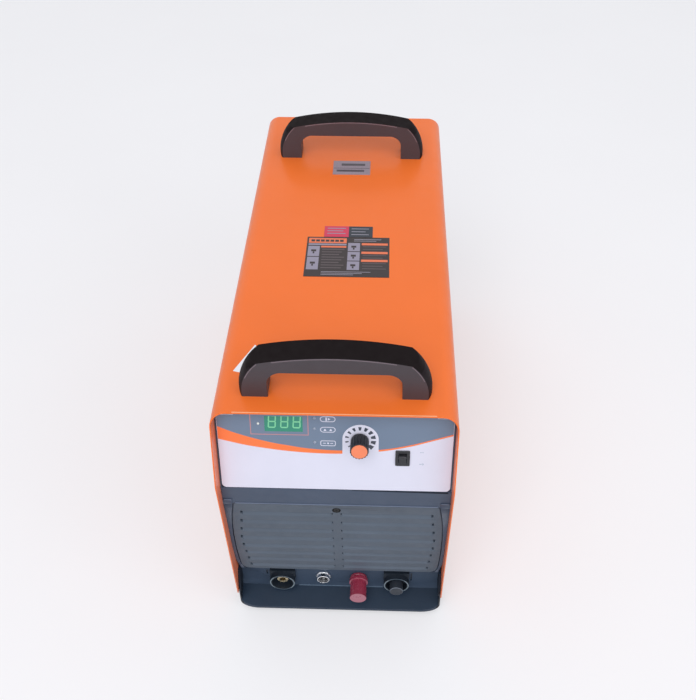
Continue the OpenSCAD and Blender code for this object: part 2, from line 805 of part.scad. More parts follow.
module indicator_lamps() {
  color([0.9, 0.9, 0.85]) on_panel() for (p = lamp_at) translate([p[0], p[1], 0]) {
    translate([0, 0, -display_back]) cylinder(d = lamp_d, h = display_back + film_t);
  }
}

module display_board() {
  hole_d = 3.2;
  color([0.10, 0.35, 0.18]) on_panel() difference() {
    translate([
      display_board_mid[0] - display_board_w / 2, display_board_mid[1] - display_board_h / 2,
      -display_back - board_t
    ]) cube([display_board_w, display_board_h, board_t]);
    for (p = spacer_at) translate([p[0], p[1], -20]) cylinder(d = hole_d, h = 20);
  }
}

module board_spacers() {
  color([0.8, 0.7, 0.4]) on_panel() for (p = spacer_at) translate([p[0], p[1], -display_back])
    difference() {
      cylinder(d = 6, h = display_back - panel_t);
      translate([0, 0, -1]) cylinder(d = 3, h = 6);
    }
}

module potentiometer() {
  nut_h = 2;
  color([0.6, 0.6, 0.62]) on_panel() translate([knob_x, -knob_s, 0]) difference() {
    union() {
      translate([0, 0, -12]) cylinder(d = 24, h = 12 - panel_t);
      translate([0, 0, -panel_t - 1]) cylinder(d = bush_d, h = panel_t + film_t + 1 + nut_h);
      translate([0, 0, film_t]) cylinder(d = 10 / cos(30), h = nut_h, $fn = 6);
      for (x = [-5, 0, 5]) translate([x - 1, -18, -8]) cube([2, 8, 1]);
    }
    translate([0, 0, -9]) cylinder(d = shaft_d + 2 * run_gap, h = 20);
  }
}

module current_knob() {
  lift = film_t + 2 + move_gap;
  grooves = 18;
  color([0.08, 0.07, 0.08]) on_panel() translate([knob_x, -knob_s, 0]) {
    difference() {
      translate([0, 0, lift]) cylinder(d = knob_d, h = knob_len - lift);
      for (i = [0:grooves - 1]) rotate(i * 360 / grooves)
        translate([knob_d / 2 + 0.3, 0, lift + 3]) cylinder(d = 2, h = knob_len);
      translate([0, 0, knob_len - 1.2]) cylinder(d = knob_d - 3, h = 2);
    }
    translate([0, 0, -8.6]) cylinder(d = shaft_d, h = 9 + lift);
  }
}

module knob_cap() {
  color([0.94, 0.51, 0.33]) on_panel() translate([knob_x, -knob_s, knob_len - 1.2]) difference() {
    cylinder(d = knob_d - 3, h = 2);
    translate([-0.6, knob_d / 2 - 5, 1.5]) cube([1.2, 5, 1]);
  }
}

rocker_axis = 0.6;
rocker_w = switch_body_w - 5;
rocker_l = switch_body_h - 6;
rocker_pin_d = 2.4;

module switch_housing() {
  color([0.05, 0.05, 0.06]) on_panel() translate([switch_x, -switch_s, 0]) difference() {
    union() {
      translate([0, 0, film_t]) linear_extrude(1.8) rounded_rect(switch_w, switch_h, 1.5);
      translate([-switch_body_w / 2, -switch_body_h / 2, -14])
        cube([switch_body_w, switch_body_h, 14 + film_t]);
      for (y = [-5, 0, 5]) translate([-2.4, y - 0.4, -21]) cube([4.8, 0.8, 7.1]);
    }
    translate([-rocker_w / 2 - move_gap, -rocker_l / 2 - move_gap, -7])
      cube([rocker_w + 2 * move_gap, rocker_l + 2 * move_gap, 20]);
    translate([-switch_body_w / 2 + 0.8, 0, rocker_axis]) rotate([0, 90, 0])
      cylinder(d = rocker_pin_d + 2 * run_gap, h = switch_body_w - 1.6);
  }
}

// A dished button that tips about the housing's pins
module switch_rocker() {
  tip = 9;
  half = rocker_l / 2 - 0.4;
  reach = switch_body_w / 2 - 1.2;
  color([0.09, 0.09, 0.10]) on_panel() translate([switch_x, -switch_s, rocker_axis]) {
    rotate([tip, 0, 0]) translate([-rocker_w / 2, 0, 0]) rotate([90, 0, 90])
      linear_extrude(rocker_w) polygon([
        [-half, -1.5], [-half, 4.2], [0, 2.6], [half, 4.2], [half, -1.5], [0, -4.5]
      ]);
    translate([-reach, 0, 0]) rotate([0, 90, 0]) cylinder(d = rocker_pin_d, h = 2 * reach);
  }
}

// ---- Connectors -------------------------------------------------------------------

// A moulded socket with an open front cup, a square-shouldered foot and a neck through the plate
module socket_shell(x, centre_d) {
  foot_t = 5;
  half = socket_d / 2;
  difference() {
    union() {
      rod(x, socket_z, socket_d, socket_face, board_y);
      block(x - half, x + half, bay_wall - foot_t, bay_wall - gap, socket_z, socket_z + half);
      rod(x, socket_z, socket_d - 8, board_y - 1, board_back + 10);
    }
    rod(x, socket_z, socket_d - 2 * socket_wall, socket_face - 1, board_y - 5);
    rod(x, socket_z, centre_d, socket_face - 1, board_back + 20);
  }
}

module torch_socket() {
  color([0.07, 0.08, 0.10]) from_front() socket_shell(-torch_x, torch_contact_d);
}

module work_socket() {
  color([0.07, 0.08, 0.10]) from_front() socket_shell(work_x, work_contact_d);
}

module socket_contact(x, d, bore, y0, y1) {
  difference() {
    union() {
      rod(x, socket_z, d, y0, y1);
      rod(x, socket_z, d + 6, board_back + 10, board_back + 13);
      rod(x, socket_z, 10, y1 - 1, y1 + 16);
    }
    rod(x, socket_z, bore, y0 - 1, y1 - 6);
  }
}

module torch_contact() {
  color([0.80, 0.62, 0.30]) from_front()
    socket_contact(-torch_x, torch_contact_d, torch_bore_d, socket_face + 6, board_back + 16);
}

module work_contact() {
  color([0.80, 0.62, 0.30]) from_front()
    socket_contact(work_x, work_contact_d, work_bore_d, board_y - 5, board_back + 16);
}

module socket_plug() {
  face = socket_face - plug_reach;
  seat = board_y - 5;
  color([0.30, 0.32, 0.35]) from_front() {
    rod(work_x, socket_z, plug_d, face, seat - gap);
    rod(work_x, socket_z, work_bore_d - 2 * run_gap, seat - 1, board_back + 8);
  }
}

module control_socket() {
  wall = 1.5;
  front = bay_wall - 9;
  color([0.82, 0.83, 0.85]) from_front() difference() {
    union() {
      rod(-control_x, control_z, control_d, front, board_back + 8);
      hex_rod(-control_x, control_z, control_d + 1.6, bay_wall - 3.4, bay_wall - gap);
      hex_rod(-control_x, control_z, control_d + 4, board_back, board_back + 3);
    }
    rod(-control_x, control_z, control_d - 2 * wall, front - 1, bay_wall + 2);
  }
}

module control_pins() {
  pins_r = 3.8;
  front = bay_wall - 7;
  color([0.10, 0.10, 0.11]) from_front()
    rod(-control_x, control_z, control_d - 4, front + 3, bay_wall + 2);
  color([0.80, 0.62, 0.30]) from_front() for (a = [45:90:315])
    rod(-control_x + pins_r * cos(a), control_z + pins_r * sin(a), 1.5, front, front + 3.1);
}

pilot_seat = bay_wall - 4;
washer_t = 1.5;
pilot_back = pilot_seat - washer_t;
pilot_front = pilot_back - pilot_len;

module pilot_base() {
  color([0.49, 0.20, 0.27]) from_front() difference() {
    union() {
      rod(pilot_x, socket_z, pilot_d + 0.6, pilot_seat, bay_wall);
      rod(pilot_x, socket_z, pilot_stud_d + 6, bay_wall - 1, board_back + 3);
    }
    rod(pilot_x, socket_z, pilot_stud_d, pilot_seat - 1, board_back + 4);
  }
}

module pilot_stud() {
  color([0.80, 0.62, 0.30]) from_front() {
    rod(pilot_x, socket_z, pilot_stud_d, pilot_front + 8, board_back + 22);
    hex_rod(pilot_x, socket_z, 13, board_back + 3, board_back + 9);
  }
}

module pilot_washer() {
  color([0.80, 0.81, 0.83]) from_front() difference() {
    rod(pilot_x, socket_z, pilot_d - 3, pilot_back + 0.05, pilot_seat - 0.1);
    rod(pilot_x, socket_z, pilot_stud_d + 2 * run_gap, 0, board_y);
  }
}

module pilot_knob() {
  ribs = 20;
  color([0.60, 0.18, 0.28]) from_front() difference() {
    union() {
      rod(pilot_x, socket_z, pilot_d + 3.4, pilot_back - 4.5, pilot_back);
      rod(pilot_x, socket_z, pilot_d, pilot_front, pilot_back - 4);
    }
    for (i = [0:ribs - 1]) translate([pilot_x, 0, socket_z]) rotate([0, i * 360 / ribs, 0])
      rod(pilot_d / 2 + 0.6, 0, 1.6, pilot_front + 2, pilot_back - 6);
    rod(pilot_x, socket_z, pilot_stud_d + 2 * run_gap, pilot_front + 3, pilot_back + 1);
  }
}

// ---- Rear -------------------------------------------------------------------------

fan_hole_x = fan_w / 2 - 10;
fan_back = rear_y;
fan_front = fan_back - fan_d;
rear_screw_d = 4;
breaker_x = case_w / 2 - breaker_side;
gland_x = case_w / 2 - gland_side;
breaker_flange = 3;
toggle_d = 16;
toggle_w = 30;
toggle_y = rear_out + breaker_flange - 4;
gland_hole = gland_bore + 8;
earth_x = 36;
earth_z = 52;

module rear_panel() {
  color([0.91, 0.44, 0.20]) from_front() difference() {
    intersection() {
      along_y(rear_y, rear_out) arch(lined_half, inner_top - gap, bend_r - sheet_t - gap);
      block(-big, big, 0, big, pan_z, big);
    }
    rod(0, fan_z, fan_bore, rear_y - 1, rear_out + 1);
    for (x = [-1, 1], z = [-1, 1])
      rod(x * fan_hole_x, fan_z + z * fan_hole_x, rear_screw_d + 2 * screw_gap, 0, big);
    block(-breaker_x - breaker_w / 2 + 3, -breaker_x + breaker_w / 2 - 3, 0, big,
      breaker_z - breaker_h / 2 + 8, breaker_z + breaker_h / 2 - 8);
    rod(gland_x, gland_z, gland_hole + 2 * gap, 0, big);
    rod(inlet_x, inlet_z, 13 + 2 * screw_gap, 0, big);
    rod(-earth_x, earth_z, earth_d + 2 * screw_gap, 0, big);
  }
}

module fan_frame() {
  hub_d = 62;
  struts = 4;
  color([0.08, 0.08, 0.09]) from_front() difference() {
    union() {
      difference() {
        along_y(fan_front, fan_back) translate([0, fan_z]) rounded_rect(fan_w, fan_w, 8);
        rod(0, fan_z, fan_bore, 0, big);
      }
      rod(0, fan_z, hub_d, fan_front, fan_front + 9);
      for (i = [0:struts - 1]) translate([0, 0, fan_z]) rotate([0, 45 + i * 360 / struts, 0])
        block(hub_d / 2 - 2, fan_bore / 2 + 1, fan_front, fan_front + 7, -4, 4);
    }
    rod(0, fan_z, 6 + 2 * run_gap, 0, big);
    for (x = [-1, 1], z = [-1, 1])
      rod(x * fan_hole_x, fan_z + z * fan_hole_x, rear_screw_d, fan_front + 20, big);
  }
}

module fan_rotor() {
  hub_d = 66;
  blade_y = fan_front + 9 + move_gap;
  blade_l = 32;
  pitch = 34;
  chord = 38;
  blade_t = 2.5;
  color([0.10, 0.10, 0.11]) from_front() {
    rod(0, fan_z, hub_d, blade_y, blade_y + blade_l);
    rod(0, fan_z, 6, fan_front + 1, blade_y + 1);
    intersection() {
      difference() {
        rod(0, fan_z, fan_bore - 2 * 2.5, blade_y, blade_y + blade_l);
        rod(0, fan_z, hub_d - 2, 0, big);
      }
      for (i = [0:fan_blades - 1])
        translate([0, blade_y + blade_l / 2, fan_z]) rotate([0, i * 360 / fan_blades, 0])
          rotate([pitch, 0, 0]) translate([0, -chord / 2, -blade_t / 2])
            cube([fan_bore / 2, chord, blade_t]);
    }
  }
}

// Wire finger guard: rings joined by spokes that end in screw eyes
module fan_guard() {
  wire = 3;
  ring_step = 14;
  ring_y = rear_out + wire / 2 + 2;
  color([0.80, 0.81, 0.83]) from_front() translate([0, 0, fan_z]) {
    for (r = [20:ring_step:fan_bore / 2]) translate([0, ring_y, 0]) rotate([90, 0, 0])
      rotate_extrude() translate([r, 0]) circle(d = wire, $fn = 24);
    for (a = [45:90:315]) rotate([0, a, 0]) difference() {
      union() {
        block(14, fan_hole_x * sqrt(2), rear_out + 1, ring_y, -1.5, 1.5);
        rod(fan_hole_x * sqrt(2), 0, 10, rear_out, ring_y);
      }
      rod(fan_hole_x * sqrt(2), 0, rear_screw_d + 2 * screw_gap, rear_out - 1, ring_y + 1);
    }
  }
}

module rear_screws() {
  seat = rear_out + 3.5;
  color([0.75, 0.75, 0.78]) from_front() for (x = [-1, 1], z = [-1, 1]) {
    rod(x * fan_hole_x, fan_z + z * fan_hole_x, 8, seat, seat + 2.6);
    rod(x * fan_hole_x, fan_z + z * fan_hole_x, rear_screw_d, fan_back - 18, seat + 1);
  }
}

module breaker_body() {
  half = breaker_w / 2;
  color([0.10, 0.10, 0.11]) from_front() difference() {
    union() {
      block(-breaker_x - half + 3 + gap, -breaker_x + half - 3 - gap, rear_y - breaker_d,
        rear_out + 1, breaker_z - breaker_h / 2 + 8 + gap, breaker_z + breaker_h / 2 - 8 - gap);
      block(-breaker_x - half, -breaker_x + half, rear_out, rear_out + breaker_flange,
        breaker_z - breaker_h / 2, breaker_z + breaker_h / 2);
      block(-breaker_x - half, -breaker_x + half, rear_y - breaker_d, rear_y,
        breaker_z - breaker_h / 2, breaker_z + breaker_h / 2);
    }
    translate([-breaker_x - toggle_w / 2 - move_gap, toggle_y, breaker_z]) rotate([0, 90, 0])
      cylinder(d = toggle_d + 2 * move_gap, h = toggle_w + 2 * move_gap);
    translate([-breaker_x - toggle_w / 2 - 4, toggle_y, breaker_z]) rotate([0, 90, 0])
      cylinder(d = 4 + 2 * run_gap, h = toggle_w + 8);
  }
}

// Lever on a round boss that turns in the breaker's front
module breaker_toggle() {
  rest = -25;
  color([0.75, 0.10, 0.10]) from_front() translate([-breaker_x, toggle_y, breaker_z])
    rotate([rest, 0, 0]) {
      translate([-toggle_w / 2, 0, 0]) rotate([0, 90, 0]) cylinder(d = toggle_d, h = toggle_w);
      translate([-toggle_w / 2 - 3.6, 0, 0]) rotate([0, 90, 0])
        cylinder(d = 4, h = toggle_w + 7.2);
      translate([-toggle_w / 2 + 2, 0, -3]) cube([toggle_w - 4, 19, 6]);
    }
}

module cable_gland() {
  color([0.08, 0.08, 0.09]) from_front() difference() {
    union() {
      hex_rod(gland_x, gland_z, gland_hole + 8, rear_out, rear_out + 8);
      rod(gland_x, gland_z, gland_hole + 4, rear_out + 7, rear_out + 22);
      rod(gland_x, gland_z, gland_hole, rear_y - 14, rear_out + 1);
    }
    rod(gland_x, gland_z, gland_bore, rear_y - 20, rear_out + 30);
  }
}

module gland_nut() {
  color([0.08, 0.08, 0.09]) from_front() difference() {
    hex_rod(gland_x, gland_z, gland_hole + 8, rear_y - 6, rear_y);
    rod(gland_x, gland_z, gland_hole + 2 * run_gap, rear_y - 10, rear_out);
  }
}

module air_inlet() {
  hex_w = 19;
  spigot_l = 20;
  color([0.80, 0.62, 0.30]) from_front() difference() {
    union() {
      hex_rod(inlet_x, inlet_z, hex_w, rear_out, rear_out + 10);
      rod(inlet_x, inlet_z, 13, rear_y - 12, rear_out + 1);
      rod(inlet_x, inlet_z, spigot_d, rear_out + 9, rear_out + inlet_reach);
      rod(inlet_x, inlet_z, spigot_d + 1.6, rear_out + inlet_reach - spigot_l - 4,
        rear_out + inlet_reach - spigot_l);
      hex_rod(inlet_x, inlet_z, hex_w, rear_y - 5, rear_y);
      rod(inlet_x, inlet_z, hose_d - 2, rear_y - 26, rear_y - 11);
    }
    rod(inlet_x, inlet_z, spigot_d - 4, rear_y - 30, rear_out + inlet_reach + 1);
  }
}

module earth_stud() {
  color([0.80, 0.62, 0.30]) from_front() {
    rod(-earth_x, earth_z, earth_d, rear_y - 6, rear_out + 22);
    hex_rod(-earth_x, earth_z, 13, rear_y - 5, rear_y);
    rod(-earth_x, earth_z, 16, rear_out, rear_out + 1.6);
    hex_rod(-earth_x, earth_z, 13, rear_out + 1.5, rear_out + 8);
  }
}

// ---- Inside -----------------------------------------------------------------------

module chassis_shelf() {
  color([0.72, 0.73, 0.75]) from_front() {
    block(-shelf_half, shelf_half, shelf_y0, shelf_y1, shelf_z, shelf_z + shelf_t);
    both_sides() block(shelf_half - shelf_t, shelf_half, shelf_y0, shelf_y1, pan_z,
      shelf_z + eps);
  }
}

module heat_sinks() {
  fins = 8;
  fin_t = 3;
  step = (sink_h - sink_base) / (fins - 1);
  color([0.75, 0.76, 0.78]) from_front() both_sides() {
    block(sink_inner, sink_inner + sink_base, sink_y0, sink_y0 + sink_l, sink_z0, sink_top);
    for (i = [0:fins - 2]) block(sink_inner + sink_base - eps, sink_inner + sink_base + sink_fin,
      sink_y0, sink_y0 + sink_l, sink_z0 + i * step, sink_z0 + i * step + fin_t);
    block(sink_inner + sink_base - eps, sink_inner + sink_base + sink_fin, sink_y0,
      sink_y0 + sink_l, sink_top - sink_base, sink_top);
  }
}

module power_modules() {
  per_side = 3;
  step = (sink_l - 40) / per_side;
  color([0.12, 0.12, 0.13]) from_front() both_sides() for (i = [0:per_side - 1])
    block(sink_inner + 12, sink_inner + sink_base + sink_fin - 10, sink_y0 + 30 + i * step,
      sink_y0 + 30 + i * step + 62, sink_top, power_z);
}

module power_board() {
  color([0.10, 0.35, 0.18]) from_front()
    block(-power_board_half, power_board_half, sink_y0, sink_y0 + sink_l, power_z,
      power_z + board_t);
}

module capacitors() {
  pitch = cap_d + 9;
  color([0.10, 0.12, 0.20]) from_front()
    for (x = [-1.5 * pitch : pitch : 1.5 * pitch], y = [sink_l * 0.27, sink_l * 0.6])
      translate([x, sink_y0 + y, power_z + board_t]) cylinder(d = cap_d, h = cap_h);
}

// Upright board behind the front, held in two slotted feet
module control_board() {
  y = control_board_y;
  part_w = 24;
  color([0.10, 0.35, 0.18]) from_front()
    block(-control_board_half, control_board_half, y, y + board_t, sink_z0,
      sink_z0 + control_board_h);
  color([0.12, 0.12, 0.13]) from_front() for (x = [-2, 0, 2])
    block((x - 0.5) * part_w, (x + 0.5) * part_w, y - 8, y + eps,
      sink_z0 + control_board_h / 4, sink_z0 + control_board_h / 4 + part_w);
}

core_leg = 24;
core_d = 60;
core_y = 200;
choke_y = 400;
choke_d = 90;

module transformer_core() {
  leg = core_leg;
  color([0.22, 0.22, 0.24]) from_front() translate([0, core_y, pan_z]) difference() {
    block(-core_w / 2, core_w / 2, 0, core_d, 0, core_h);
    for (s = [-1, 1]) translate([s * (core_w - leg) / 4 - (core_w / 2 - 1.5 * leg) / 2, -1, leg])
      cube([core_w / 2 - 1.5 * leg, core_d + 2, core_h - 2 * leg]);
  }
}

module transformer_coils() {
  leg = core_leg;
  window = core_w / 2 - 1.5 * leg;
  coil_h = core_h - 2 * leg - 2 * gap;
  wrap = window - 4;
  color([0.72, 0.45, 0.20]) from_front() translate([0, core_y, pan_z + leg + gap]) difference() {
    block(-leg / 2 - wrap, leg / 2 + wrap, -wrap, core_d + wrap, 0, coil_h);
    block(-leg / 2 - 1 - gap, leg / 2 + 1 + gap, -gap, core_d + gap, -1, coil_h + 1);
  }
}

module output_choke() {
  hole_d = 34;
  choke_l = 52;
  color([0.72, 0.45, 0.20]) from_front() translate([0, choke_y, pan_z + choke_d / 2])
    rotate([90, 0, 0]) difference() {
      cylinder(d = choke_d, h = choke_l, center = true);
      cylinder(d = hole_d, h = choke_l + 8, center = true);
    }
}

valve_y = 560;
module gas_valve() {
  color([0.80, 0.62, 0.30]) from_front() {
    block(inlet_x - 16, inlet_x + 16, valve_y - 20, valve_y + 20, pan_z, inlet_z + 12);
    translate([inlet_x, valve_y, inlet_z + 11]) cylinder(d = 28, h = 42);
  }
}

// Runs from the inlet to the valve, then forward to the torch socket
module air_hose() {
  turn_y = 90;
  back = board_back + 32;
  color([0.10, 0.25, 0.55]) from_front() difference() {
    union() {
      rod(inlet_x, inlet_z, hose_d, valve_y + 20, rear_y - 12);
      rod(-torch_x, socket_z, hose_d + 2, back - 12, turn_y);
    }
    rod(inlet_x, inlet_z, hose_d - 2, valve_y + 10, rear_y);
    rod(-torch_x, socket_z, 10, 0, back);
  }
}

// ---- Labels -----------------------------------------------------------------------

label_x = 4;
label_w = 116;
label_y = 253;
label_l = 89;
label_t = 0.4;
strip_x = 3.5;
strip_w = 69;
strip_y = label_y + label_l + 0.5;
strip_l = 25.5;
plate_x = 2;
plate_w = 58;
plate_y = 504;
plate_l = 39;

module top_labels() {
  color([0.20, 0.18, 0.20]) from_front() {
    block(label_x - label_w / 2, label_x + label_w / 2, label_y, label_y + label_l, cover_top,
      cover_top + label_t);
    block(strip_x - strip_w / 2, strip_x + strip_w / 2, strip_y, strip_y + strip_l, cover_top,
      cover_top + label_t);
  }
}

module rating_plate() {
  color([0.62, 0.62, 0.66]) from_front()
    block(plate_x - plate_w / 2, plate_x + plate_w / 2, plate_y, plate_y + plate_l, cover_top,
      cover_top + 0.6);
}

cover();
base_pan();
rubber_feet();
foot_screws();
cover_screws();
carry_handles();
handle_plates();
handle_screws();
front_bezel();
connector_bay();
louvre_panel();
panel_screws();
connector_plate();
control_panel();
panel_film();
display_module();
display_lens();
indicator_lamps();
display_board();
board_spacers();
potentiometer();
current_knob();
knob_cap();
switch_housing();
switch_rocker();
torch_socket();
torch_contact();
work_socket();
work_contact();
socket_plug();
control_socket();
control_pins();
pilot_base();
pilot_stud();
pilot_washer();
pilot_knob();
rear_panel();
fan_frame();
fan_rotor();
fan_guard();
rear_screws();
breaker_body();
breaker_toggle();
cable_gland();
gland_nut();
air_inlet();
earth_stud();
chassis_shelf();
heat_sinks();
power_modules();
power_board();
capacitors();
control_board();
transformer_core();
transformer_coils();
output_choke();
gas_valve();
air_hose();
top_labels();
rating_plate();
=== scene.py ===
"""Plasma cutter power unit: materials, moulded edges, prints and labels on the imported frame.

Lengths in the helpers are millimetres. "Front" coordinates are those of the case: x to the
right, y back from the cover's top front edge, z up from the floor.
"""
import math

import bmesh
import bpy
from mathutils import Matrix, Vector
from mathutils.geometry import tessellate_polygon


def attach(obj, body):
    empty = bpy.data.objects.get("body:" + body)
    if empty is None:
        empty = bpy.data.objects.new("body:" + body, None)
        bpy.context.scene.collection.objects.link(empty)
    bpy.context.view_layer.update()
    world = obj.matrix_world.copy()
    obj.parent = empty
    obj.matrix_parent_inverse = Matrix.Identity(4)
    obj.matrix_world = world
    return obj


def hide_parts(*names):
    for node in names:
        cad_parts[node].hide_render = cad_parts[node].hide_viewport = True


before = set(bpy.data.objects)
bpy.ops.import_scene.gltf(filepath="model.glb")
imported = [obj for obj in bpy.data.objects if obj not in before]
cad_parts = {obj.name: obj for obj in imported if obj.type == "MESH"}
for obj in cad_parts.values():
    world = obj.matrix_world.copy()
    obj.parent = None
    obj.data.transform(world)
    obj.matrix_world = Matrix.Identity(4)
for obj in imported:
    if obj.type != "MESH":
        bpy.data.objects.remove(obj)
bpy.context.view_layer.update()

MM = 0.001
FRONT_Y = -340.5
COVER_TOP = 412.5
PANEL_Y, PANEL_TILT = 24.0, math.radians(13.1)
FILM_TOP, FILM_HALF = 0.5, 140.4
TORCH_X, WORK_X, SOCKET_Z, SOCKET_FACE = 82.0, 81.0, 50.0, 5.0
SCREW_HOLE_Y, SCREW_HOLE_Z, SCREW_HOLE_R = -5.0, 242.6, 5.6
GRIP_YS = 29.7, 551.3                       # front faces of the two handles
CROWN_R, CROWN_Z = 390.0, 86.5              # arc along a handle's crown
LEG_R, LEG_X, LEG_Z = 66.0, 43.0, 418.5     # arcs along its legs


# ---- Materials ------------------------------------------------------------------------

def srgb(r, g, b):
    """Linear colour of an 8-bit sRGB one."""
    def lin(v):
        v /= 255
        return v / 12.92 if v <= 0.04045 else ((v + 0.055) / 1.055) ** 2.4
    return (lin(r), lin(g), lin(b), 1.0)


def shade(colour, k):
    """Colour times k."""
    return tuple(min(1.0, c * k) for c in colour[:3]) + (1.0,)


class Finish:
    """A Principled material whose colour, roughness and bump come from noise in object space."""

    def __init__(self, name, colour, rough, metal=0.0, specular=0.5):
        self.mat = bpy.data.materials.new(name)
        self.mat.use_nodes = True
        self.tree = self.mat.node_tree
        self.bsdf = self.tree.nodes["Principled BSDF"]
        self.bsdf.inputs["Base Color"].default_value = colour
        self.bsdf.inputs["Roughness"].default_value = rough
        self.bsdf.inputs["Metallic"].default_value = metal
        self.bsdf.inputs["Specular IOR Level"].default_value = specular
        self.colour, self.rough = colour, rough
        self.coord = self.tree.nodes.new("ShaderNodeTexCoord").outputs["Object"]
        self.height = None

    def node(self, kind, **inputs):
        n = self.tree.nodes.new(kind)
        for k, v in inputs.items():
            n.inputs[k.replace("_", " ")].default_value = v
        return n

    def link(self, a, b):
        self.tree.links.new(a, b)

    def noise(self, scale, detail, stretch=None):
        n = self.node("ShaderNodeTexNoise", Scale=scale, Detail=detail)
        source = self.coord
        if stretch:
            m = self.node("ShaderNodeMapping", Scale=stretch)
            self.link(source, m.inputs["Vector"])
            source = m.outputs["Vector"]
        self.link(source, n.inputs["Vector"])
        return n.outputs["Fac"]

    def ramp(self, fac, stops):
        r = self.node("ShaderNodeValToRGB")
        e = r.color_ramp.elements
        while len(e) < len(stops):
            e.new(0.5)
        for i, (p, c) in enumerate(stops):
            e[i].position, e[i].color = p, c
        self.link(fac, r.inputs["Fac"])
        return r.outputs["Color"]

    def multiply(self, a, b):
        m = self.tree.nodes.new("ShaderNodeMix")
        m.data_type, m.blend_type = "RGBA", "MULTIPLY"
        factor, first, second = m.inputs[0], m.inputs[6], m.inputs[7]
        factor.default_value = 1.0
        self.link(a, first)
        self.link(b, second)
        return m.outputs[2]

    def patches(self, scale, amount, fine=0.0, fine_scale=1500, stretch=None):
        """Colour that drifts by amount over patches, with finer specks on top."""
        low, high = shade(self.colour, 1 - amount), shade(self.colour, 1 + amount)
        out = self.ramp(self.noise(scale, 4, stretch), [(0.32, low), (0.68, high)])
        if fine:
            speck = self.ramp(self.noise(fine_scale, 2), [
                (0.3, (1 - fine,) * 3 + (1,)), (0.7, (1 + fine,) * 3 + (1,))])
            out = self.multiply(out, speck)
        self.link(out, self.bsdf.inputs["Base Color"])
        return self

    def rough_by(self, scale, amount, stretch=None):
        """Roughness that drifts by amount either way."""
        m = self.node("ShaderNodeMapRange")
        m.inputs["From Min"].default_value, m.inputs["From Max"].default_value = 0.3, 0.7
        m.inputs["To Min"].default_value = max(0.02, self.rough - amount)
        m.inputs["To Max"].default_value = min(1.0, self.rough + amount)
        self.link(self.noise(scale, 3, stretch), m.inputs["Value"])
        self.link(m.outputs["Result"], self.bsdf.inputs["Roughness"])
        return self

    def bump(self, scale, depth, strength=1.0, stretch=None):
        """Adds a relief of depth metres; several may be stacked."""
        b = self.node("ShaderNodeBump", Strength=strength, Distance=depth)
        self.link(self.noise(scale, 2, stretch), b.inputs["Height"])
        if self.height:
            self.link(self.height, b.inputs["Normal"])
        self.height = b.outputs["Normal"]
        self.link(self.height, self.bsdf.inputs["Normal"])
        return self

    def coat(self, weight, rough):
        self.bsdf.inputs["Coat Weight"].default_value = weight
        self.bsdf.inputs["Coat Roughness"].default_value = rough
        return self

    def glow(self, colour, strength):
        self.bsdf.inputs["Emission Color"].default_value = colour
        self.bsdf.inputs["Emission Strength"].default_value = strength
        return self


def paint(name, colour, rough=0.36):
    return (Finish(name, colour, rough, specular=0.3).patches(9, 0.02, 0.015, 2600)
            .rough_by(60, 0.05).bump(700, 0.00006, 0.5).bump(2600, 0.00002, 0.4)
            .coat(0.1, 0.12).mat)


def moulded(name, colour, rough=0.5, grain=0.00005, scale=1500, drift=0.05, specular=0.5):
    return (Finish(name, colour, rough, specular=specular).patches(22, drift, 0.05, 1900)
            .rough_by(90, 0.07).bump(scale, grain, 0.8)
            .bump(scale * 2.6, grain * 0.4, 0.6).mat)


def gloss(name, colour, rough=0.22, drift=0.03):
    return (Finish(name, colour, rough).patches(35, drift, 0.015).rough_by(140, 0.05)
            .bump(420, 0.00003, 0.4).coat(0.3, 0.08).mat)


def printed(name, colour, rough=0.34, drift=0.015):
    return (Finish(name, colour, rough).patches(28, drift, 0.012, 3200).rough_by(70, 0.05)
            .bump(1700, 0.00002, 0.5).mat)


def metal(name, colour, rough=0.3, stretch=(1, 1, 1), drift=0.07):
    return (Finish(name, colour, rough, 1.0).patches(60, drift, 0.05, 900, stretch)
            .rough_by(260, 0.09, stretch).bump(780, 0.00002, 0.7, stretch).mat)


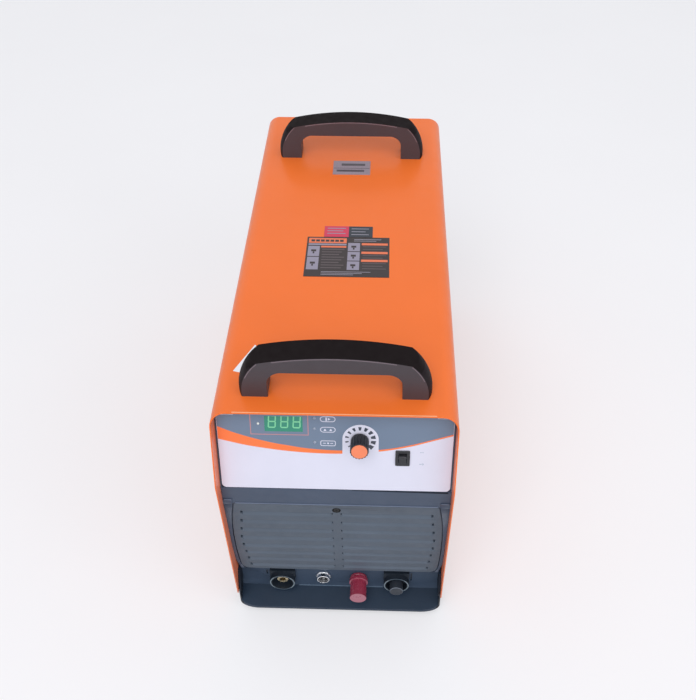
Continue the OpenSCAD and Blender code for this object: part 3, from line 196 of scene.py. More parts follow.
M = {
    "cover_paint": paint("cover_paint", srgb(236, 112, 42)),
    # painted shade: a darker copy of the cover paint for the rounded edges of the cover and the
    # rear sheet
    "cover_edge_shade": paint("cover_edge_shade", srgb(186, 80, 46)),
    # painted light: a lighter copy of the cover paint for the shaded insides of the sides
    "cover_inner_lit": paint("cover_inner_lit", srgb(246, 138, 100)),
    # painted highlight: pale orange for the line along the cover's top front edge
    "cover_hem": paint("cover_hem", srgb(250, 190, 150), 0.32),
    "dark_steel": moulded("dark_steel", srgb(58, 62, 72), 0.45, 0.00004, 700),
    "zinc_steel": metal("zinc_steel", srgb(196, 198, 204), 0.34),
    "rubber_black": moulded("rubber_black", srgb(30, 30, 32), 0.78, 0.00012, 900, 0.12),
    "handle_plastic": moulded("handle_plastic", srgb(59, 54, 60), 0.46, 0.00004, 1300),
    # painted shade: darker copies of the handle plastic for the grip's top, the legs' outer sides
    # and the rounded edges
    "handle_top_shade": moulded("handle_top_shade", srgb(19, 12, 14), 0.7, 0.00004, 1300, specular=0.1),
    "handle_side_shade": moulded("handle_side_shade", srgb(25, 17, 21), 0.62, 0.00004, 1300, specular=0.12),
    # painted highlight: light lines along the grips' top front edges
    "handle_edge": moulded("handle_edge", srgb(122, 108, 116), 0.38, 0.00003, 1300),
    "bezel_plastic": moulded("bezel_plastic", srgb(60, 72, 92), 0.46),
    # painted highlight: light lines along the top edges of the louvre panel and the wings
    "header_light": moulded("header_light", srgb(104, 115, 136), 0.4, 0.00003),
    # painted highlight: a lighter copy of the bezel plastic for its rounded edges
    "bezel_edge_highlight": moulded("bezel_edge_highlight", srgb(98, 107, 126), 0.4, 0.00003),
    "bay_plastic": moulded("bay_plastic", srgb(33, 48, 67), 0.5, specular=0.3),
    # painted highlight for the bay's rounded edges
    "bay_edge_highlight": moulded("bay_edge_highlight", srgb(42, 57, 76), 0.44, 0.00003),
    # painted shade for the cheeks, the tray and the shadow under the panel; painted light for the
    # wall
    "bay_shade": moulded("bay_shade", srgb(20, 27, 38), 0.6, specular=0.2),
    "bay_wall": moulded("bay_wall", srgb(53, 67, 86), 0.5, specular=0.3),
    "bay_tray_shade": moulded("bay_tray_shade", srgb(22, 40, 59), 0.5, specular=0.3),
    # painted highlight: a light line along the bay's crease
    "bay_light": moulded("bay_light", srgb(96, 114, 134), 0.4, 0.00003),
    "louvre_plastic": moulded("louvre_plastic", srgb(74, 84, 97), 0.52),
    # painted light for the louvres' slopes and painted highlight for their rounded edges
    "louvre_slope_lit": moulded("louvre_slope_lit", srgb(77, 88, 102), 0.5, 0.00003),
    "louvre_edge_highlight": moulded("louvre_edge_highlight", srgb(138, 148, 162), 0.46, 0.00003),
    "film_white": printed("film_white", srgb(213, 213, 229)),
    "film_slate": printed("film_slate", srgb(106, 122, 144)),
    "film_orange": printed("film_orange", srgb(240, 120, 62)),
    "film_black": printed("film_black", srgb(56, 62, 76)),
    "film_pink": printed("film_pink", srgb(206, 132, 128)),
    "film_mark": printed("film_mark", srgb(150, 166, 186)),
    "lens_green": gloss("lens_green", srgb(34, 132, 108), 0.12),
    "digit": (Finish("digit", srgb(120, 196, 150), 0.4).patches(60, 0.04)
              .bump(900, 0.00002).glow(srgb(96, 200, 150), 0.06).mat),
    "lamp_clear": gloss("lamp_clear", srgb(224, 230, 224), 0.14),
    "lamp_dim": gloss("lamp_dim", srgb(146, 158, 180), 0.2),
    "black_plastic": moulded("black_plastic", srgb(30, 31, 36), 0.42),
    # painted highlight: a lighter copy of the black plastic for rounded edges
    "black_edge_highlight": moulded("black_edge_highlight", srgb(76, 80, 88), 0.36, 0.00003),
    # painted highlights for the sockets' front rims, brighter and dimmer
    "rim_highlight_bright": moulded("rim_highlight_bright", srgb(116, 130, 140), 0.4, 0.00003),
    "rim_highlight_dim": moulded("rim_highlight_dim", srgb(74, 88, 100), 0.4, 0.00003),
    "socket_black": moulded("socket_black", srgb(24, 32, 42), 0.5, specular=0.3),
    "cap_orange": gloss("cap_orange", srgb(236, 128, 86), 0.36),
    "contact_brass": metal("contact_brass", srgb(212, 172, 92), 0.24, (1, 6, 1)),
    # painted highlight: a pale copy of the brass for the torch socket's contact
    "contact_highlight": metal("contact_highlight", srgb(240, 224, 186), 0.26, (1, 6, 1)),
    "nickel": metal("nickel", srgb(236, 238, 242), 0.2, (1, 5, 1), 0.04),
    "terminal_red": gloss("terminal_red", srgb(140, 46, 68), 0.26),
    # painted light: a lighter copy of the red for the pilot knob's front face
    "terminal_face_lit": gloss("terminal_face_lit", srgb(160, 88, 106), 0.3),
    "terminal_glint": gloss("terminal_glint", srgb(220, 130, 152), 0.2),
    "plug_grey": moulded("plug_grey", srgb(94, 102, 114), 0.6, 0.00008, 1100),
    "plug_dark": moulded("plug_dark", srgb(36, 42, 52), 0.5, 0.00006, 1100),
    "board_green": gloss("board_green", srgb(40, 104, 62), 0.3, 0.08),
    "sink_aluminium": metal("sink_aluminium", srgb(190, 193, 198), 0.38, (1, 0.05, 1)),
    "core_iron": moulded("core_iron", srgb(60, 60, 64), 0.62, 0.0001, 800, 0.1),
    "winding_copper": metal("winding_copper", srgb(186, 112, 60), 0.3, (0.1, 0.1, 12), 0.12),
    "module_black": moulded("module_black", srgb(40, 40, 43), 0.5),
    "capacitor_sleeve": gloss("capacitor_sleeve", srgb(34, 40, 66), 0.28),
    "hose_blue": gloss("hose_blue", srgb(46, 88, 160), 0.34),
    "toggle_red": moulded("toggle_red", srgb(186, 40, 36), 0.4),
    "label_dark": printed("label_dark", srgb(40, 30, 33)),
    "label_blue": printed("label_blue", srgb(32, 40, 52)),
    "label_white": printed("label_white", srgb(140, 134, 152)),
    "label_faint": printed("label_faint", srgb(82, 70, 74)),
    "label_orange": printed("label_orange", srgb(222, 112, 74)),
    "label_pink": printed("label_pink", srgb(198, 46, 80)),
    "label_line": printed("label_line", srgb(150, 146, 160)),
    "plate_silver": metal("plate_silver", srgb(176, 164, 176), 0.62, (14, 1, 1), 0.04),
    "plate_ink": printed("plate_ink", srgb(74, 66, 74)),
    "paper": printed("paper", srgb(236, 238, 244), 0.7, 0.02),
}

# CAD nodes shown as they are, each in one look
NODE_LOOK = {
    "base_pan": "dark_steel", "rubber_feet": "rubber_black", "foot_screws": "zinc_steel",
    "cover_screws": "zinc_steel", "handle_plates": "zinc_steel", "handle_screws": "zinc_steel",
    # connector_plate takes dark steel as painted shade, so the slots beside the sockets show dark
    "panel_screws": "rubber_black", "connector_plate": "dark_steel",
    "control_panel": "film_white", "panel_film": "film_white",
    "display_module": "black_plastic", "display_lens": "lens_green",
    "indicator_lamps": "lamp_clear", "display_board": "board_green",
    "board_spacers": "contact_brass", "potentiometer": "zinc_steel",
    # the torch contact takes pale brass as a painted highlight
    "torch_contact": "contact_highlight", "work_contact": "contact_brass",
    "control_pins": "black_plastic", "pilot_stud": "contact_brass", "pilot_washer": "nickel",
    "fan_guard": "nickel", "rear_screws": "zinc_steel", "gland_nut": "black_plastic",
    "air_inlet": "contact_brass", "earth_stud": "contact_brass",
    "chassis_shelf": "zinc_steel", "heat_sinks": "sink_aluminium",
    "power_modules": "module_black", "power_board": "board_green",
    "capacitors": "capacitor_sleeve", "control_board": "board_green",
    "transformer_core": "core_iron", "transformer_coils": "winding_copper",
    "output_choke": "winding_copper", "gas_valve": "contact_brass", "air_hose": "hose_blue",
    "top_labels": "label_dark", "rating_plate": "plate_silver",
}
for name, look in NODE_LOOK.items():
    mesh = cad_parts[name].data
    for i in range(max(1, len(mesh.materials))):
        if i < len(mesh.materials):
            mesh.materials[i] = M[look]
        else:
            mesh.materials.append(M[look])


# ---- Geometry helpers -----------------------------------------------------------------

def front(x, y, z):
    """World place of a front point."""
    return Vector((x, FRONT_Y + y, z)) * MM


PANEL = Matrix.Translation(front(0, PANEL_Y, COVER_TOP)) @ Matrix.Rotation(
    math.radians(90) - PANEL_TILT, 4, "X")
TOP = Matrix.Translation(front(0, 0, COVER_TOP))


def facing(x, y, z):
    """Local x right, y up, z out of a face that looks forward at that front point."""
    return Matrix.Translation(front(x, y, z)) @ Matrix.Rotation(math.radians(90), 4, "X")


def finish_piece(name, bm, look, body="case", smooth=None):
    """Makes an object of the mesh; look is one key of M or a list, smooth an angle in degrees."""
    bmesh.ops.recalc_face_normals(bm, faces=bm.faces)
    mesh = bpy.data.meshes.new(name)
    bm.to_mesh(mesh)
    bm.free()
    for key in [look] if isinstance(look, str) else look:
        mesh.materials.append(M[key])
    obj = bpy.data.objects.new(name, mesh)
    bpy.context.scene.collection.objects.link(obj)
    if smooth is not None:
        for p in mesh.polygons:
            p.use_smooth = True
        mesh.set_sharp_from_angle(angle=math.radians(smooth))
    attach(obj, body)
    return obj


def soften(name, nodes, look, width, body="case", segments=2, angle=28, pick=None):
    """Copies CAD nodes and rounds their edges; bevel faces take the second look, if given.

    A face takes the look whose place in the list pick gives for it, or the first one.
    """
    bm = bmesh.new()
    for n in nodes:
        bm.from_mesh(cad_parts[n].data)
    bmesh.ops.remove_doubles(bm, verts=bm.verts, dist=2e-6)
    bmesh.ops.dissolve_limit(bm, angle_limit=math.radians(0.6), verts=bm.verts, edges=bm.edges)
    for f in bm.faces:
        f.material_index = pick(f) if pick else 0
    obj = finish_piece(name, bm, look, body, 32)
    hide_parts(*nodes)
    b = obj.modifiers.new("edges", "BEVEL")
    b.width, b.segments = width * MM, segments
    b.limit_method, b.angle_limit = "ANGLE", math.radians(angle)
    b.material = 1 if not isinstance(look, str) and len(look) > 1 else -1
    return obj


def slab(bm, loops, z0, z1, place, index=0):
    """Closed plate between two heights from an outline and its holes, in local millimetres."""
    loops = [list(l) for l in loops]
    flat = [p for l in loops for p in l]
    tris = tessellate_polygon([[Vector((x, y, 0)) for x, y in l] for l in loops])
    low = [bm.verts.new(place @ (Vector((x, y, z0)) * MM)) for x, y in flat]
    high = [bm.verts.new(place @ (Vector((x, y, z1)) * MM)) for x, y in flat]
    faces = []
    for t in tris:
        if len({*t}) == 3:
            faces.append(bm.faces.new([high[i] for i in t]))
            faces.append(bm.faces.new([low[i] for i in reversed(t)]))
    start = 0
    for l in loops:
        n = len(l)
        for i in range(n):
            a, b = start + i, start + (i + 1) % n
            faces.append(bm.faces.new([low[a], low[b], high[b], high[a]]))
        start += n
    for f in faces:
        f.material_index = index


def rect(x0, y0, x1, y1, r=0.0):
    """Rectangle, with corners of radius r if it is given."""
    n = 5
    if not r:
        return [(x0, y0), (x1, y0), (x1, y1), (x0, y1)]
    pts = []
    for cx, cy, a in ((x1 - r, y0 + r, -90), (x1 - r, y1 - r, 0), (x0 + r, y1 - r, 90),
                      (x0 + r, y0 + r, 180)):
        for i in range(n + 1):
            t = math.radians(a + 90 * i / n)
            pts.append((cx + r * math.cos(t), cy + r * math.sin(t)))
    return pts


def ring(cx, cy, r, n=48, a0=0.0, a1=360.0):
    """Points of a circle, or of its arc from a0 to a1 degrees with both ends."""
    full = abs(a1 - a0) >= 360
    m = n if full else n + 1
    return [(cx + r * math.cos(math.radians(a0 + (a1 - a0) * i / n)),
             cy + r * math.sin(math.radians(a0 + (a1 - a0) * i / n))) for i in range(m)]


def arc_band(cx, cy, r0, r1, n, a0, a1):
    """Outline between radii r0 and r1 over part of a circle."""
    return ring(cx, cy, r1, n, a0, a1) + ring(cx, cy, r0, n, a0, a1)[::-1]


def curve(points):
    """Smooth line through points (Catmull-Rom)."""
    steps = 8
    p = [points[0]] + list(points) + [points[-1]]
    out = []
    for i in range(1, len(p) - 2):
        for k in range(steps):
            t = k / steps
            out.append(tuple(
                0.5 * (2 * b + (c - a) * t
                       + (2 * a - 5 * b + 4 * c - d) * t * t
                       + (3 * b - a - 3 * c + d) * t ** 3)
                for a, b, c, d in zip(p[i - 1], p[i], p[i + 1], p[i + 2])))
    return out + [points[-1]]


# ---- Camera, light and floor ----------------------------------------------------------

cam_data = bpy.data.cameras.new("camera")
cam_data.sensor_width, cam_data.lens = 36.0, 45.54
cam_data.shift_x, cam_data.shift_y = -0.0141, 0.0040
cam_data.clip_start, cam_data.clip_end = 0.05, 60
cam = bpy.data.objects.new("camera", cam_data)
cam.location = (0.05136, -1.01619, 1.16726)
cam.rotation_euler = [math.radians(a) for a in (46.043, 0.218, 1.765)]
bpy.context.scene.collection.objects.link(cam)
bpy.context.scene.camera = cam


def area(name, size, energy, place, target):
    """Square lamp at a place, aimed at a target, both in metres."""
    data = bpy.data.lights.new(name, "AREA")
    data.shape, data.size, data.energy = "SQUARE", size, energy
    obj = bpy.data.objects.new(name, data)
    obj.location = place
    aim = Vector(target) - Vector(place)
    obj.rotation_euler = aim.to_track_quat("-Z", "Y").to_euler()
    bpy.context.scene.collection.objects.link(obj)


area("key", 4.0, 198, (-0.8, -4.1, 5.5), (0, 0, 0.2))
area("fill", 3.0, 36, (3.2, -2.6, 2.4), (0, -0.1, 0.25))
area("front", 2.4, 18, (0.1, -4.2, 1.6), (0, -0.3, 0.3))


def seen_rays(tree, strength):
    """Strength for the rays that show a backdrop: camera, mirror and glass rays; 0 for others."""
    path = tree.nodes.new("ShaderNodeLightPath")
    out = path.outputs["Is Camera Ray"]
    for kind in ("Is Glossy Ray", "Is Transmission Ray"):
        m = tree.nodes.new("ShaderNodeMath")
        m.operation = "MAXIMUM"
        tree.links.new(out, m.inputs[0])
        tree.links.new(path.outputs[kind], m.inputs[1])
        out = m.outputs[0]
    m = tree.nodes.new("ShaderNodeMath")
    m.operation = "MULTIPLY"
    m.inputs[1].default_value = strength
    tree.links.new(out, m.inputs[0])
    return m.outputs[0]


world = bpy.data.worlds.new("studio")
bpy.context.scene.world = world
world.use_nodes = True
wt = world.node_tree
wt.nodes.clear()
w_out = wt.nodes.new("ShaderNodeOutputWorld")
w_mix = wt.nodes.new("ShaderNodeMixShader")
w_soft, w_seen = wt.nodes.new("ShaderNodeBackground"), wt.nodes.new("ShaderNodeBackground")
w_soft.inputs["Color"].default_value = (0.94, 0.96, 1.0, 1)
w_soft.inputs["Strength"].default_value = 0.7
w_seen.inputs["Color"].default_value = (1, 1, 1, 1)
w_seen.inputs["Strength"].default_value = 1.0
wt.links.new(seen_rays(wt, 1.0), w_mix.inputs[0])
wt.links.new(w_soft.outputs[0], w_mix.inputs[1])
wt.links.new(w_seen.outputs[0], w_mix.inputs[2])
wt.links.new(w_mix.outputs[0], w_out.inputs[0])

bpy.context.scene.view_settings.view_transform = "Standard"

FLOOR_HALF = 20
floor_mesh = bpy.data.meshes.new("floor")
floor_mesh.from_pydata(
    [(x * FLOOR_HALF, y * FLOOR_HALF, 0) for x, y in ((-1, -1), (1, -1), (1, 1), (-1, 1))],
    [], [(0, 1, 2, 3)])
floor = bpy.data.objects.new("floor", floor_mesh)
bpy.context.scene.collection.objects.link(floor)
floor_look = Finish("floor", srgb(184, 184, 187), 0.85, specular=0.2).patches(3, 0.01)
floor_look.bump(300, 0.00005, 0.3).glow(srgb(250, 249, 250), 0.0)
floor_look.link(seen_rays(floor_look.tree, 0.42), floor_look.bsdf.inputs["Emission Strength"])
floor_mesh.materials.append(floor_look.mat)


# ---- Softened CAD pieces --------------------------------------------------------------

SCREW_HOLE = front(0, SCREW_HOLE_Y, SCREW_HOLE_Z)
CHEEK_X, TRAY_Z = 138, 25


def handle_look(face):
    """Painted shade: darker on the grip's top and on the legs' outer sides."""
    if face.normal.z > 0.5:
        return 2
    out = face.calc_center_median()
    return 3 if out.x * face.normal.x > 0 and abs(face.normal.x) > 0.6 else 0


def louvre_look(face):
    """Painted shade: black in the screw's recess; painted light: lighter on the slopes that catch
    the light.
    """
    to_hole = face.calc_center_median() - SCREW_HOLE
    if Vector((to_hole.x, to_hole.z)).length < SCREW_HOLE_R * MM:
        return 3
    return 2 if face.normal.z > 0.02 else 0


def cover_look(face):
    """Painted light: a lighter, redder copy of the paint on the insides of the two sides."""
    inward = face.calc_center_median().x * face.normal.x < 0
    return 2 if inward and abs(face.normal.x) > 0.9 else 0


def bay_look(face):
    """Painted shade and light: dark cheeks, a lighter wall and a darker tray."""
    at = face.calc_center_median()
    if abs(at.x) > CHEEK_X * MM:
        return 2
    if face.normal.y < -0.9 and at.z > TRAY_Z * MM:
        return 3
    return 4 if face.normal.z > 0.5 else 0


# Painted shade on the cover's rounded edges and painted light on the insides of its sides.
soften("cover_sheet", ["cover"], ["cover_paint", "cover_edge_shade", "cover_inner_lit"], 0.6,
       pick=cover_look)
# Painted shade on the grips' tops, outer sides and rounded edges.
soften("handle_grips", ["carry_handles"],
       ["handle_plastic", "handle_side_shade", "handle_top_shade", "handle_side_shade"], 0.8,
       segments=3, angle=30, pick=handle_look)
# Painted highlight on the bezel's rounded edges.
soften("bezel_moulding", ["front_bezel"], ["bezel_plastic", "bezel_edge_highlight"], 0.7)
# Painted highlight on the bay's rounded edges; painted shade on its cheeks and tray, painted
# light on its wall.
soften("bay_moulding", ["connector_bay"],
       ["bay_plastic", "bay_edge_highlight", "bay_shade", "bay_wall", "bay_tray_shade"], 0.8,
       pick=bay_look)
# Painted highlight on the louvres' rounded edges, painted light on their slopes and painted shade
# in the screw's recess.
soften("louvre_moulding", ["louvre_panel"],
       ["louvre_plastic", "louvre_edge_highlight", "louvre_slope_lit", "rubber_black"], 0.5,
       segments=1, pick=louvre_look)
# In this block the second look of the black knob, switch, fan, breaker and gland pieces is a
# painted highlight on their rounded edges.
soften("knob_body", ["current_knob"], ["black_plastic", "black_edge_highlight"], 0.3, "current_knob")
soften("knob_face", ["knob_cap"], ["cap_orange", "cap_orange"], 0.4, "current_knob")
soften("switch_frame", ["switch_housing"], ["black_plastic", "black_edge_highlight"], 0.4)
soften("switch_button", ["switch_rocker"], ["black_plastic", "black_edge_highlight"], 0.3,
       "switch_rocker")
soften("torch_barrel", ["torch_socket"], "socket_black", 0.5)
soften("work_barrel", ["work_socket"], "socket_black", 0.5)
soften("plug_body", ["socket_plug"], ["plug_dark", "plug_grey"], 0.8, "socket_plug",
       3)
soften("control_barrel", ["control_socket"], ["nickel", "nickel"], 0.3)
soften("terminal_base", ["pilot_base"], ["terminal_red", "terminal_red"], 0.7)
# Painted highlight on the pilot knob's rounded edges and painted light on its front face.
soften("terminal_knob", ["pilot_knob"], ["terminal_red", "terminal_glint", "terminal_face_lit"], 0.8,
       "pilot_knob", 3, pick=lambda f: 2 if f.normal.y < -0.9 else 0)
# Painted shade on the rear sheet's rounded edges.
soften("rear_sheet", ["rear_panel"], ["cover_paint", "cover_edge_shade"], 0.5)
soften("fan_housing", ["fan_frame"], ["black_plastic", "black_edge_highlight"], 0.8)
soften("fan_blades", ["fan_rotor"], ["black_plastic", "black_edge_highlight"], 0.5, "fan_rotor")
soften("breaker_case", ["breaker_body"], ["black_plastic", "black_edge_highlight"], 0.8)
soften("breaker_lever", ["breaker_toggle"], ["toggle_red", "toggle_red"], 0.8,
       "breaker_toggle")
soften("gland_body", ["cable_gland"], ["black_plastic", "black_edge_highlight"], 0.6)


# ---- Print on the control panel -------------------------------------------------------

KNOB = (29.5, -53.5)
LAMPS = [(-91.2, -32.9), (-24.4, -23.6), (-24.4, -38.8), (-24.4, -58.6)]
WINDOW = rect(-83.75, -43.7, -38.25, -21.7)
FIELD_EDGE = curve([(-FILM_HALF, -37.7), (-121, -46.4), (-98, -54.2), (-76, -60.2), (-56, -64.0),
                    (-30, -68.2), (8, -70.0), (54, -67.8), (89, -60.3), (119, -50.6),
                    (FILM_HALF, -43.2)])
BAND_EDGE = curve([(-FILM_HALF, -56.2), (-121, -61.4), (-103, -65.6), (-67, -71.2),
                   (-31, -74.4), (8, -74.8), (54, -70.3), (89, -62.5), (119, -52.5),
                   (FILM_HALF, -45.4)])


def print_piece(name, look, layer, shapes):
    """Closed sheets of ink, each from an outline and its holes; layers lie 0.04 mm apart."""
    low = FILM_TOP + 0.01 + 0.04 * layer
    high = FILM_TOP + 0.045 + 0.04 * layer
    bm = bmesh.new()
    for loops in shapes:
        slab(bm, loops, low, high, PANEL)
    finish_piece(name, bm, look)


bush = ring(*KNOB, 6.4, 32)
dots = [ring(x, y, 1.75, 20) for x, y in LAMPS]
NOTCH_X, NOTCH_Y, TOP_Y = 120.6, -21, -2.2
field = ([(-FILM_HALF, NOTCH_Y), (-NOTCH_X, NOTCH_Y), (-NOTCH_X, TOP_Y), (NOTCH_X, TOP_Y),
          (NOTCH_X, NOTCH_Y), (FILM_HALF, NOTCH_Y)] + FIELD_EDGE[::-1])
print_piece("field_print", "film_slate", 0, [[field, WINDOW, bush] + dots])
print_piece("band_print", "film_orange", 0, [[FIELD_EDGE + BAND_EDGE[::-1]]])
ARCH_X, ARCH_R, ARCH_FOOT = 30.3, 21.7, -80
arch = ring(ARCH_X, KNOB[1], ARCH_R, 40, 0, 180)
arch += [(ARCH_X - ARCH_R, ARCH_FOOT), (ARCH_X + ARCH_R, ARCH_FOOT)]
print_piece("scale_ground", "film_white", 1, [[arch, bush]])


def tick(a, w0, w1, r0, r1):
    """Bar at angle a on the knob's scale, of half width w0 at radius r0 and w1 at r1."""
    u, v = (math.cos(a), math.sin(a)), (-math.sin(a), math.cos(a))
    return [(KNOB[0] + r * u[0] + q * v[0], KNOB[1] + r * u[1] + q * v[1])
            for r, q in ((r0, -w0), (r1, -w1), (r1, w1), (r0, w0))]


ticks = []
for i in range(11):
    half = 0.9 + 0.22 * i
    ticks.append([tick(math.radians(218 - i * 25.6), half * 0.6, half, 13.6, 17.5 + 0.2 * i)])
print_piece("scale_ticks", "film_black", 2, ticks)

print_piece("window_frame", "film_pink", 1, [
    [rect(-100.8, -48.6, -31.6, -12), rect(-100.0, -47.8, -32.4, -12.8)]])

SIGNS = [(-8.5, -24.6, 4.0), (-8.5, -39.8, 4.0), (-8.5, -59.7, 2.2)]
SIGN_W, SIGN_H, SIGN_LINE = 9.2, 4.0, 0.9
marks = []
for x, y, r in SIGNS:
    w, h = SIGN_W - SIGN_LINE, SIGN_H - SIGN_LINE
    marks.append([rect(x - SIGN_W, y - SIGN_H, x + SIGN_W, y + SIGN_H, r),
                  rect(x - w, y - h, x + w, y + h, r - SIGN_LINE)])
x, y = SIGNS[0][:2]
marks += [[rect(x - 2.6, y - 2.4, x - 1.0, y + 2.4)],
          [[(x + 0.2, y - 1.8), (x + 3.4, y), (x + 0.2, y + 1.8)]]]
x, y = SIGNS[1][:2]
marks += [[[(x - 5.2, y - 1.7), (x - 1.6, y - 1.7), (x - 3.4, y + 1.6)]],
          [[(x + 1.6, y - 1.7), (x + 5.2, y - 1.7), (x + 3.4, y + 1.6)]]]
x, y = SIGNS[2][:2]
marks += [[rect(x - 6.0, y - 0.5, x - 2.6, y + 0.5)], [ring(x, y, 1.2, 16)],
          [rect(x + 2.6, y - 0.5, x + 6.0, y + 0.5)]]
print_piece("mode_signs", "film_white", 1, marks)
print_piece("switch_marks", "film_mark", 0, [
    [rect(102.2, -71.2, 103.6, -70.2)], [rect(104.6, -71.2, 106.0, -70.2)],
    [rect(101.6, -88.8, 103.6, -87.8)],
    [ring(105.6, -88.3, 1.3, 20), ring(105.6, -88.3, 0.7, 16)]])

SEGMENTS = [((-4.0, 8.6), (4.0, 8.6)), ((-4.0, 0), (4.0, 0)), ((-4.0, -8.6), (4.0, -8.6)),
            ((-4.9, 0.9), (-4.9, 7.7)), ((4.9, 0.9), (4.9, 7.7)),
            ((-4.9, -7.7), (-4.9, -0.9)), ((4.9, -7.7), (4.9, -0.9))]
DIGIT_XS, DIGIT_Y = (-74.6, -59.8, -45.2), -29.4
bm = bmesh.new()
for cx in DIGIT_XS:
    for (x0, y0), (x1, y1) in SEGMENTS:
        t = 0.95
        if y0 == y1:
            pts = [(x0 - t, y0), (x0, y0 - t), (x1, y0 - t),
                   (x1 + t, y0), (x1, y0 + t), (x0, y0 + t)]
        else:
            pts = [(x0, y0 - t), (x0 + t, y0), (x0 + t, y1),
                   (x0, y1 + t), (x0 - t, y1), (x0 - t, y0)]
        slanted = [(cx + 0.82 * x + 0.06 * y, DIGIT_Y + y * 0.98) for x, y in pts]
        slab(bm, [slanted], FILM_TOP + 0.002, FILM_TOP + 0.04, PANEL)
finish_piece("display_digits", bm, "digit")


def dome(bm, x, y, r, h, place):
    """Closed dome standing on a face."""
    n, rows = 24, 5
    rings = []
    for k in range(rows):
        a = math.radians(90 * k / rows)
        rings.append([bm.verts.new(place @ (Vector((x + r * math.cos(a) * math.cos(t),
                                                   y + r * math.cos(a) * math.sin(t),
                                                   h * math.sin(a))) * MM))
                      for t in (2 * math.pi * i / n for i in range(n))])
    tip = bm.verts.new(place @ (Vector((x, y, h)) * MM))
    bm.faces.new(rings[0][::-1])
    for i in range(n):
        j = (i + 1) % n
        for a, b in zip(rings, rings[1:]):
            bm.faces.new((a[i], a[j], b[j], b[i]))
        bm.faces.new((rings[-1][i], rings[-1][j], tip))


LAMP_FACE = PANEL @ Matrix.Translation((0, 0, FILM_TOP * MM))
for i, (x, y) in enumerate(LAMPS):
    bm = bmesh.new()
    dome(bm, x, y, 1.45, 0.7, LAMP_FACE)
    finish_piece("lamp_%d" % (i + 1), bm, "lamp_clear" if i == 0 else "lamp_dim",
                 smooth=40)


# ---- Labels on the cover --------------------------------------------------------------

def label(name, base, cells, place, top):
    """Ink on a label whose place is (x, y, width, length), top mm above the cover.

    Cells are (look, u0, v0, u1, v1), with u to the right and v down from the far edge.
    """
    x0, y0, w, l = place
    looks = [base] + sorted({c[0] for c in cells})
    bm = bmesh.new()
    for look, u0, v0, u1, v1 in cells:
        slab(bm, [rect(x0 + u0 * w, y0 + (1 - v1) * l, x0 + u1 * w, y0 + (1 - v0) * l)],
             top + 0.005, top + 0.04, TOP, looks.index(look))
    finish_piece(name, bm, looks)


MAIN, STRIP, PLATE = (-54, 253, 116, 89), (-31, 342.5, 69, 25.5), (-27, 504, 58, 39)
LABEL_TOP, LINES_TOP, PLATE_TOP = 0.4, 0.44, 0.6

cells = [("label_orange", 0.02, 0.03, 0.48, 0.16), ("label_white", 0.02, 0.175, 0.48, 0.215),
         ("label_orange", 0.175, 0.235, 0.48, 0.275),
         ("label_white", 0.02, 0.24, 0.16, 0.50), ("label_white", 0.02, 0.52, 0.16, 0.83),
         ("label_white", 0.50, 0.15, 0.645, 0.36), ("label_white", 0.50, 0.38, 0.645, 0.60),
         ("label_white", 0.50, 0.62, 0.645, 0.83)]
cells += [("label_orange", 0.665, v, 0.98, v + 0.055) for v in (0.15, 0.37, 0.57)]
cells += [("label_line", 0.57, 0.05 + 0.04 * i, 0.9 - 0.06 * i, 0.062 + 0.04 * i)
          for i in range(2)]
cells += [("label_line", 0.2, 0.875 + 0.035 * i, 0.78 - 0.1 * i, 0.885 + 0.035 * i)
          for i in range(3)]
label("main_label", "label_dark", cells, MAIN, LABEL_TOP)
cells = [("label_dark", 0.05 + 0.058 * i, 0.07, 0.095 + 0.058 * i, 0.125) for i in range(7)]
cells += [("label_faint", 0.19, 0.31 + 0.066 * i, 0.46 - 0.03 * (i % 3), 0.335 + 0.066 * i)
          for i in range(8)]
cells += [("label_faint", 0.68, v + 0.066 * i, 0.96 - 0.04 * (i % 2), v + 0.02 + 0.066 * i)
          for v, n in ((0.235, 2), (0.455, 2), (0.655, 3)) for i in range(n)]
for u, v in ((0.06, 0.33), (0.06, 0.64), (0.54, 0.22), (0.54, 0.45), (0.54, 0.69)):
    cells += [("label_dark", u, v, u + 0.06, v + 0.05),
              ("label_dark", u + 0.02, v + 0.055, u + 0.04, v + 0.1)]
label("main_lines", "label_dark", cells, MAIN, LINES_TOP)

cells = [("label_pink", 0.0, 0.0, 0.505, 1.0), ("label_blue", 0.505, 0.0, 1.0, 1.0)]
label("strip_label", "label_dark", cells, STRIP, LABEL_TOP)
cells = [("label_white", 0.06, 0.16 + 0.24 * i, 0.44 - 0.05 * (i % 2), 0.23 + 0.24 * i)
         for i in range(3)]
cells += [("label_line", 0.56, 0.2 + 0.27 * i, 0.92 - 0.07 * (i % 2), 0.25 + 0.27 * i)
          for i in range(3)]
label("strip_lines", "label_dark", cells, STRIP, LINES_TOP)

cells = [("plate_ink", 0.22, 0.2, 0.86, 0.36), ("plate_ink", 0.02, 0.53, 0.98, 0.56),
         ("plate_ink", 0.1, 0.66, 0.84, 0.8)]
label("plate_lines", "plate_silver", cells, PLATE, PLATE_TOP)

bm = bmesh.new()
slab(bm, [[(-125, 71), (-114.5, 68.5), (-92, 104), (-103.5, 117.5)]], 0.01, 0.16, TOP)
finish_piece("paper_tag", bm, "paper")


# ---- Painted highlights and shadow along edges ----------------------------------------

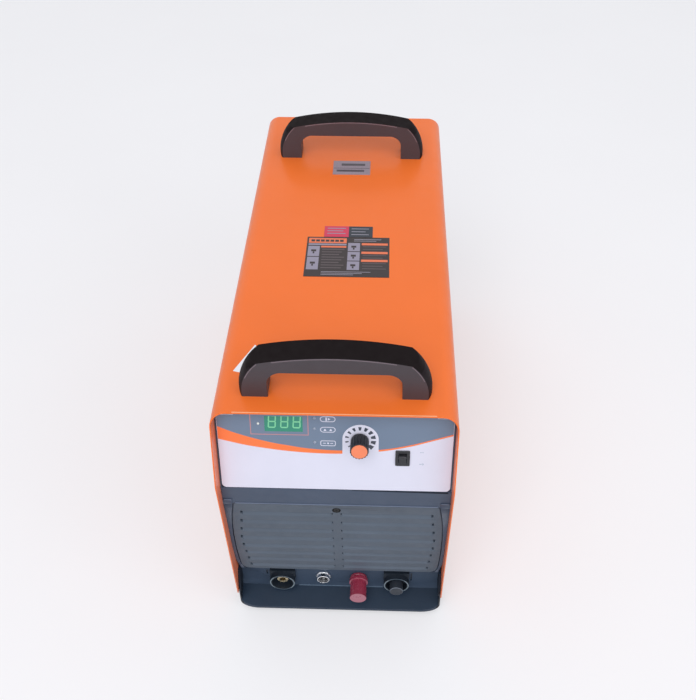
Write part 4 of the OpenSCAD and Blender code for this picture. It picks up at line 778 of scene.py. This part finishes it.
def bead(name, look, boxes):
    """Bars from (x0, y0, z0) to (x1, y1, z1), in front coordinates."""
    bm = bmesh.new()
    for (x0, y0, z0), (x1, y1, z1) in boxes:
        slab(bm, [rect(x0, y0, x1, y1)], z0 - COVER_TOP, z1 - COVER_TOP, TOP)
    finish_piece(name, bm, look)


# Painted highlight: a pale line along the cover's top front edge.
bead("front_edge_highlight", "cover_hem",
     [((-118, 4.0, COVER_TOP + 0.005), (118, 5.0, COVER_TOP + 0.03))])
# Painted highlight: a light line along the crease between the bay's wall and tray.
bead("bay_bead", "bay_light", [((-60, 17.0, 25.1), (62, 18.4, 25.9))])
# Painted highlights: light lines along the top edges of the louvre panel and the wings.
bead("header_bead", "header_light", [((-128, -7.3, 254.0), (128, -6.4, 255.2))])
bead("wing_beads", "header_light",
     [((x, -8.0, 261.6), (x + 9, -7.2, 262.4)) for x in (-141, 132)])

bm = bmesh.new()
slab(bm, [[(20, 284.0), (139, 281.6), (139, 284.7), (20, 284.7)]], -0.5, 0.06,
     facing(0, -6.12, 0))
finish_piece("panel_shade", bm, "bay_shade")

# Painted highlights: light arcs along the top front edges of both grips.
for name, y in (("front_grip_line", GRIP_YS[0]), ("rear_grip_line", GRIP_YS[1])):
    bm = bmesh.new()
    bands = [arc_band(0, CROWN_Z, CROWN_R - 1.9, CROWN_R - 0.9, 40, 79.5, 100.5),
             arc_band(LEG_X, LEG_Z, LEG_R - 1.6, LEG_R - 0.9, 16, 22, 46),
             arc_band(-LEG_X, LEG_Z, LEG_R - 1.6, LEG_R - 0.9, 16, 134, 158)]
    for band in bands:
        slab(bm, [band], -0.1, 0.04, facing(0, y, 0))
    finish_piece(name, bm, "handle_edge")

# Painted highlights on the sockets' front rims: a dim ring with brighter arcs at left and right.
RIM_R = 17.6
for name, x in (("torch_rim", -TORCH_X), ("work_rim", WORK_X)):
    bm = bmesh.new()
    rim = facing(x, SOCKET_FACE, SOCKET_Z)
    slab(bm, [ring(0, 0, RIM_R), ring(0, 0, RIM_R - 1.3)], -0.1, 0.03, rim)
    for a in (-48, 132):
        slab(bm, [arc_band(0, 0, RIM_R - 1.4, RIM_R, 24, a, a + 96)], 0.04, 0.07, rim, 1)
    finish_piece(name, bm, ["rim_highlight_dim", "rim_highlight_bright"])
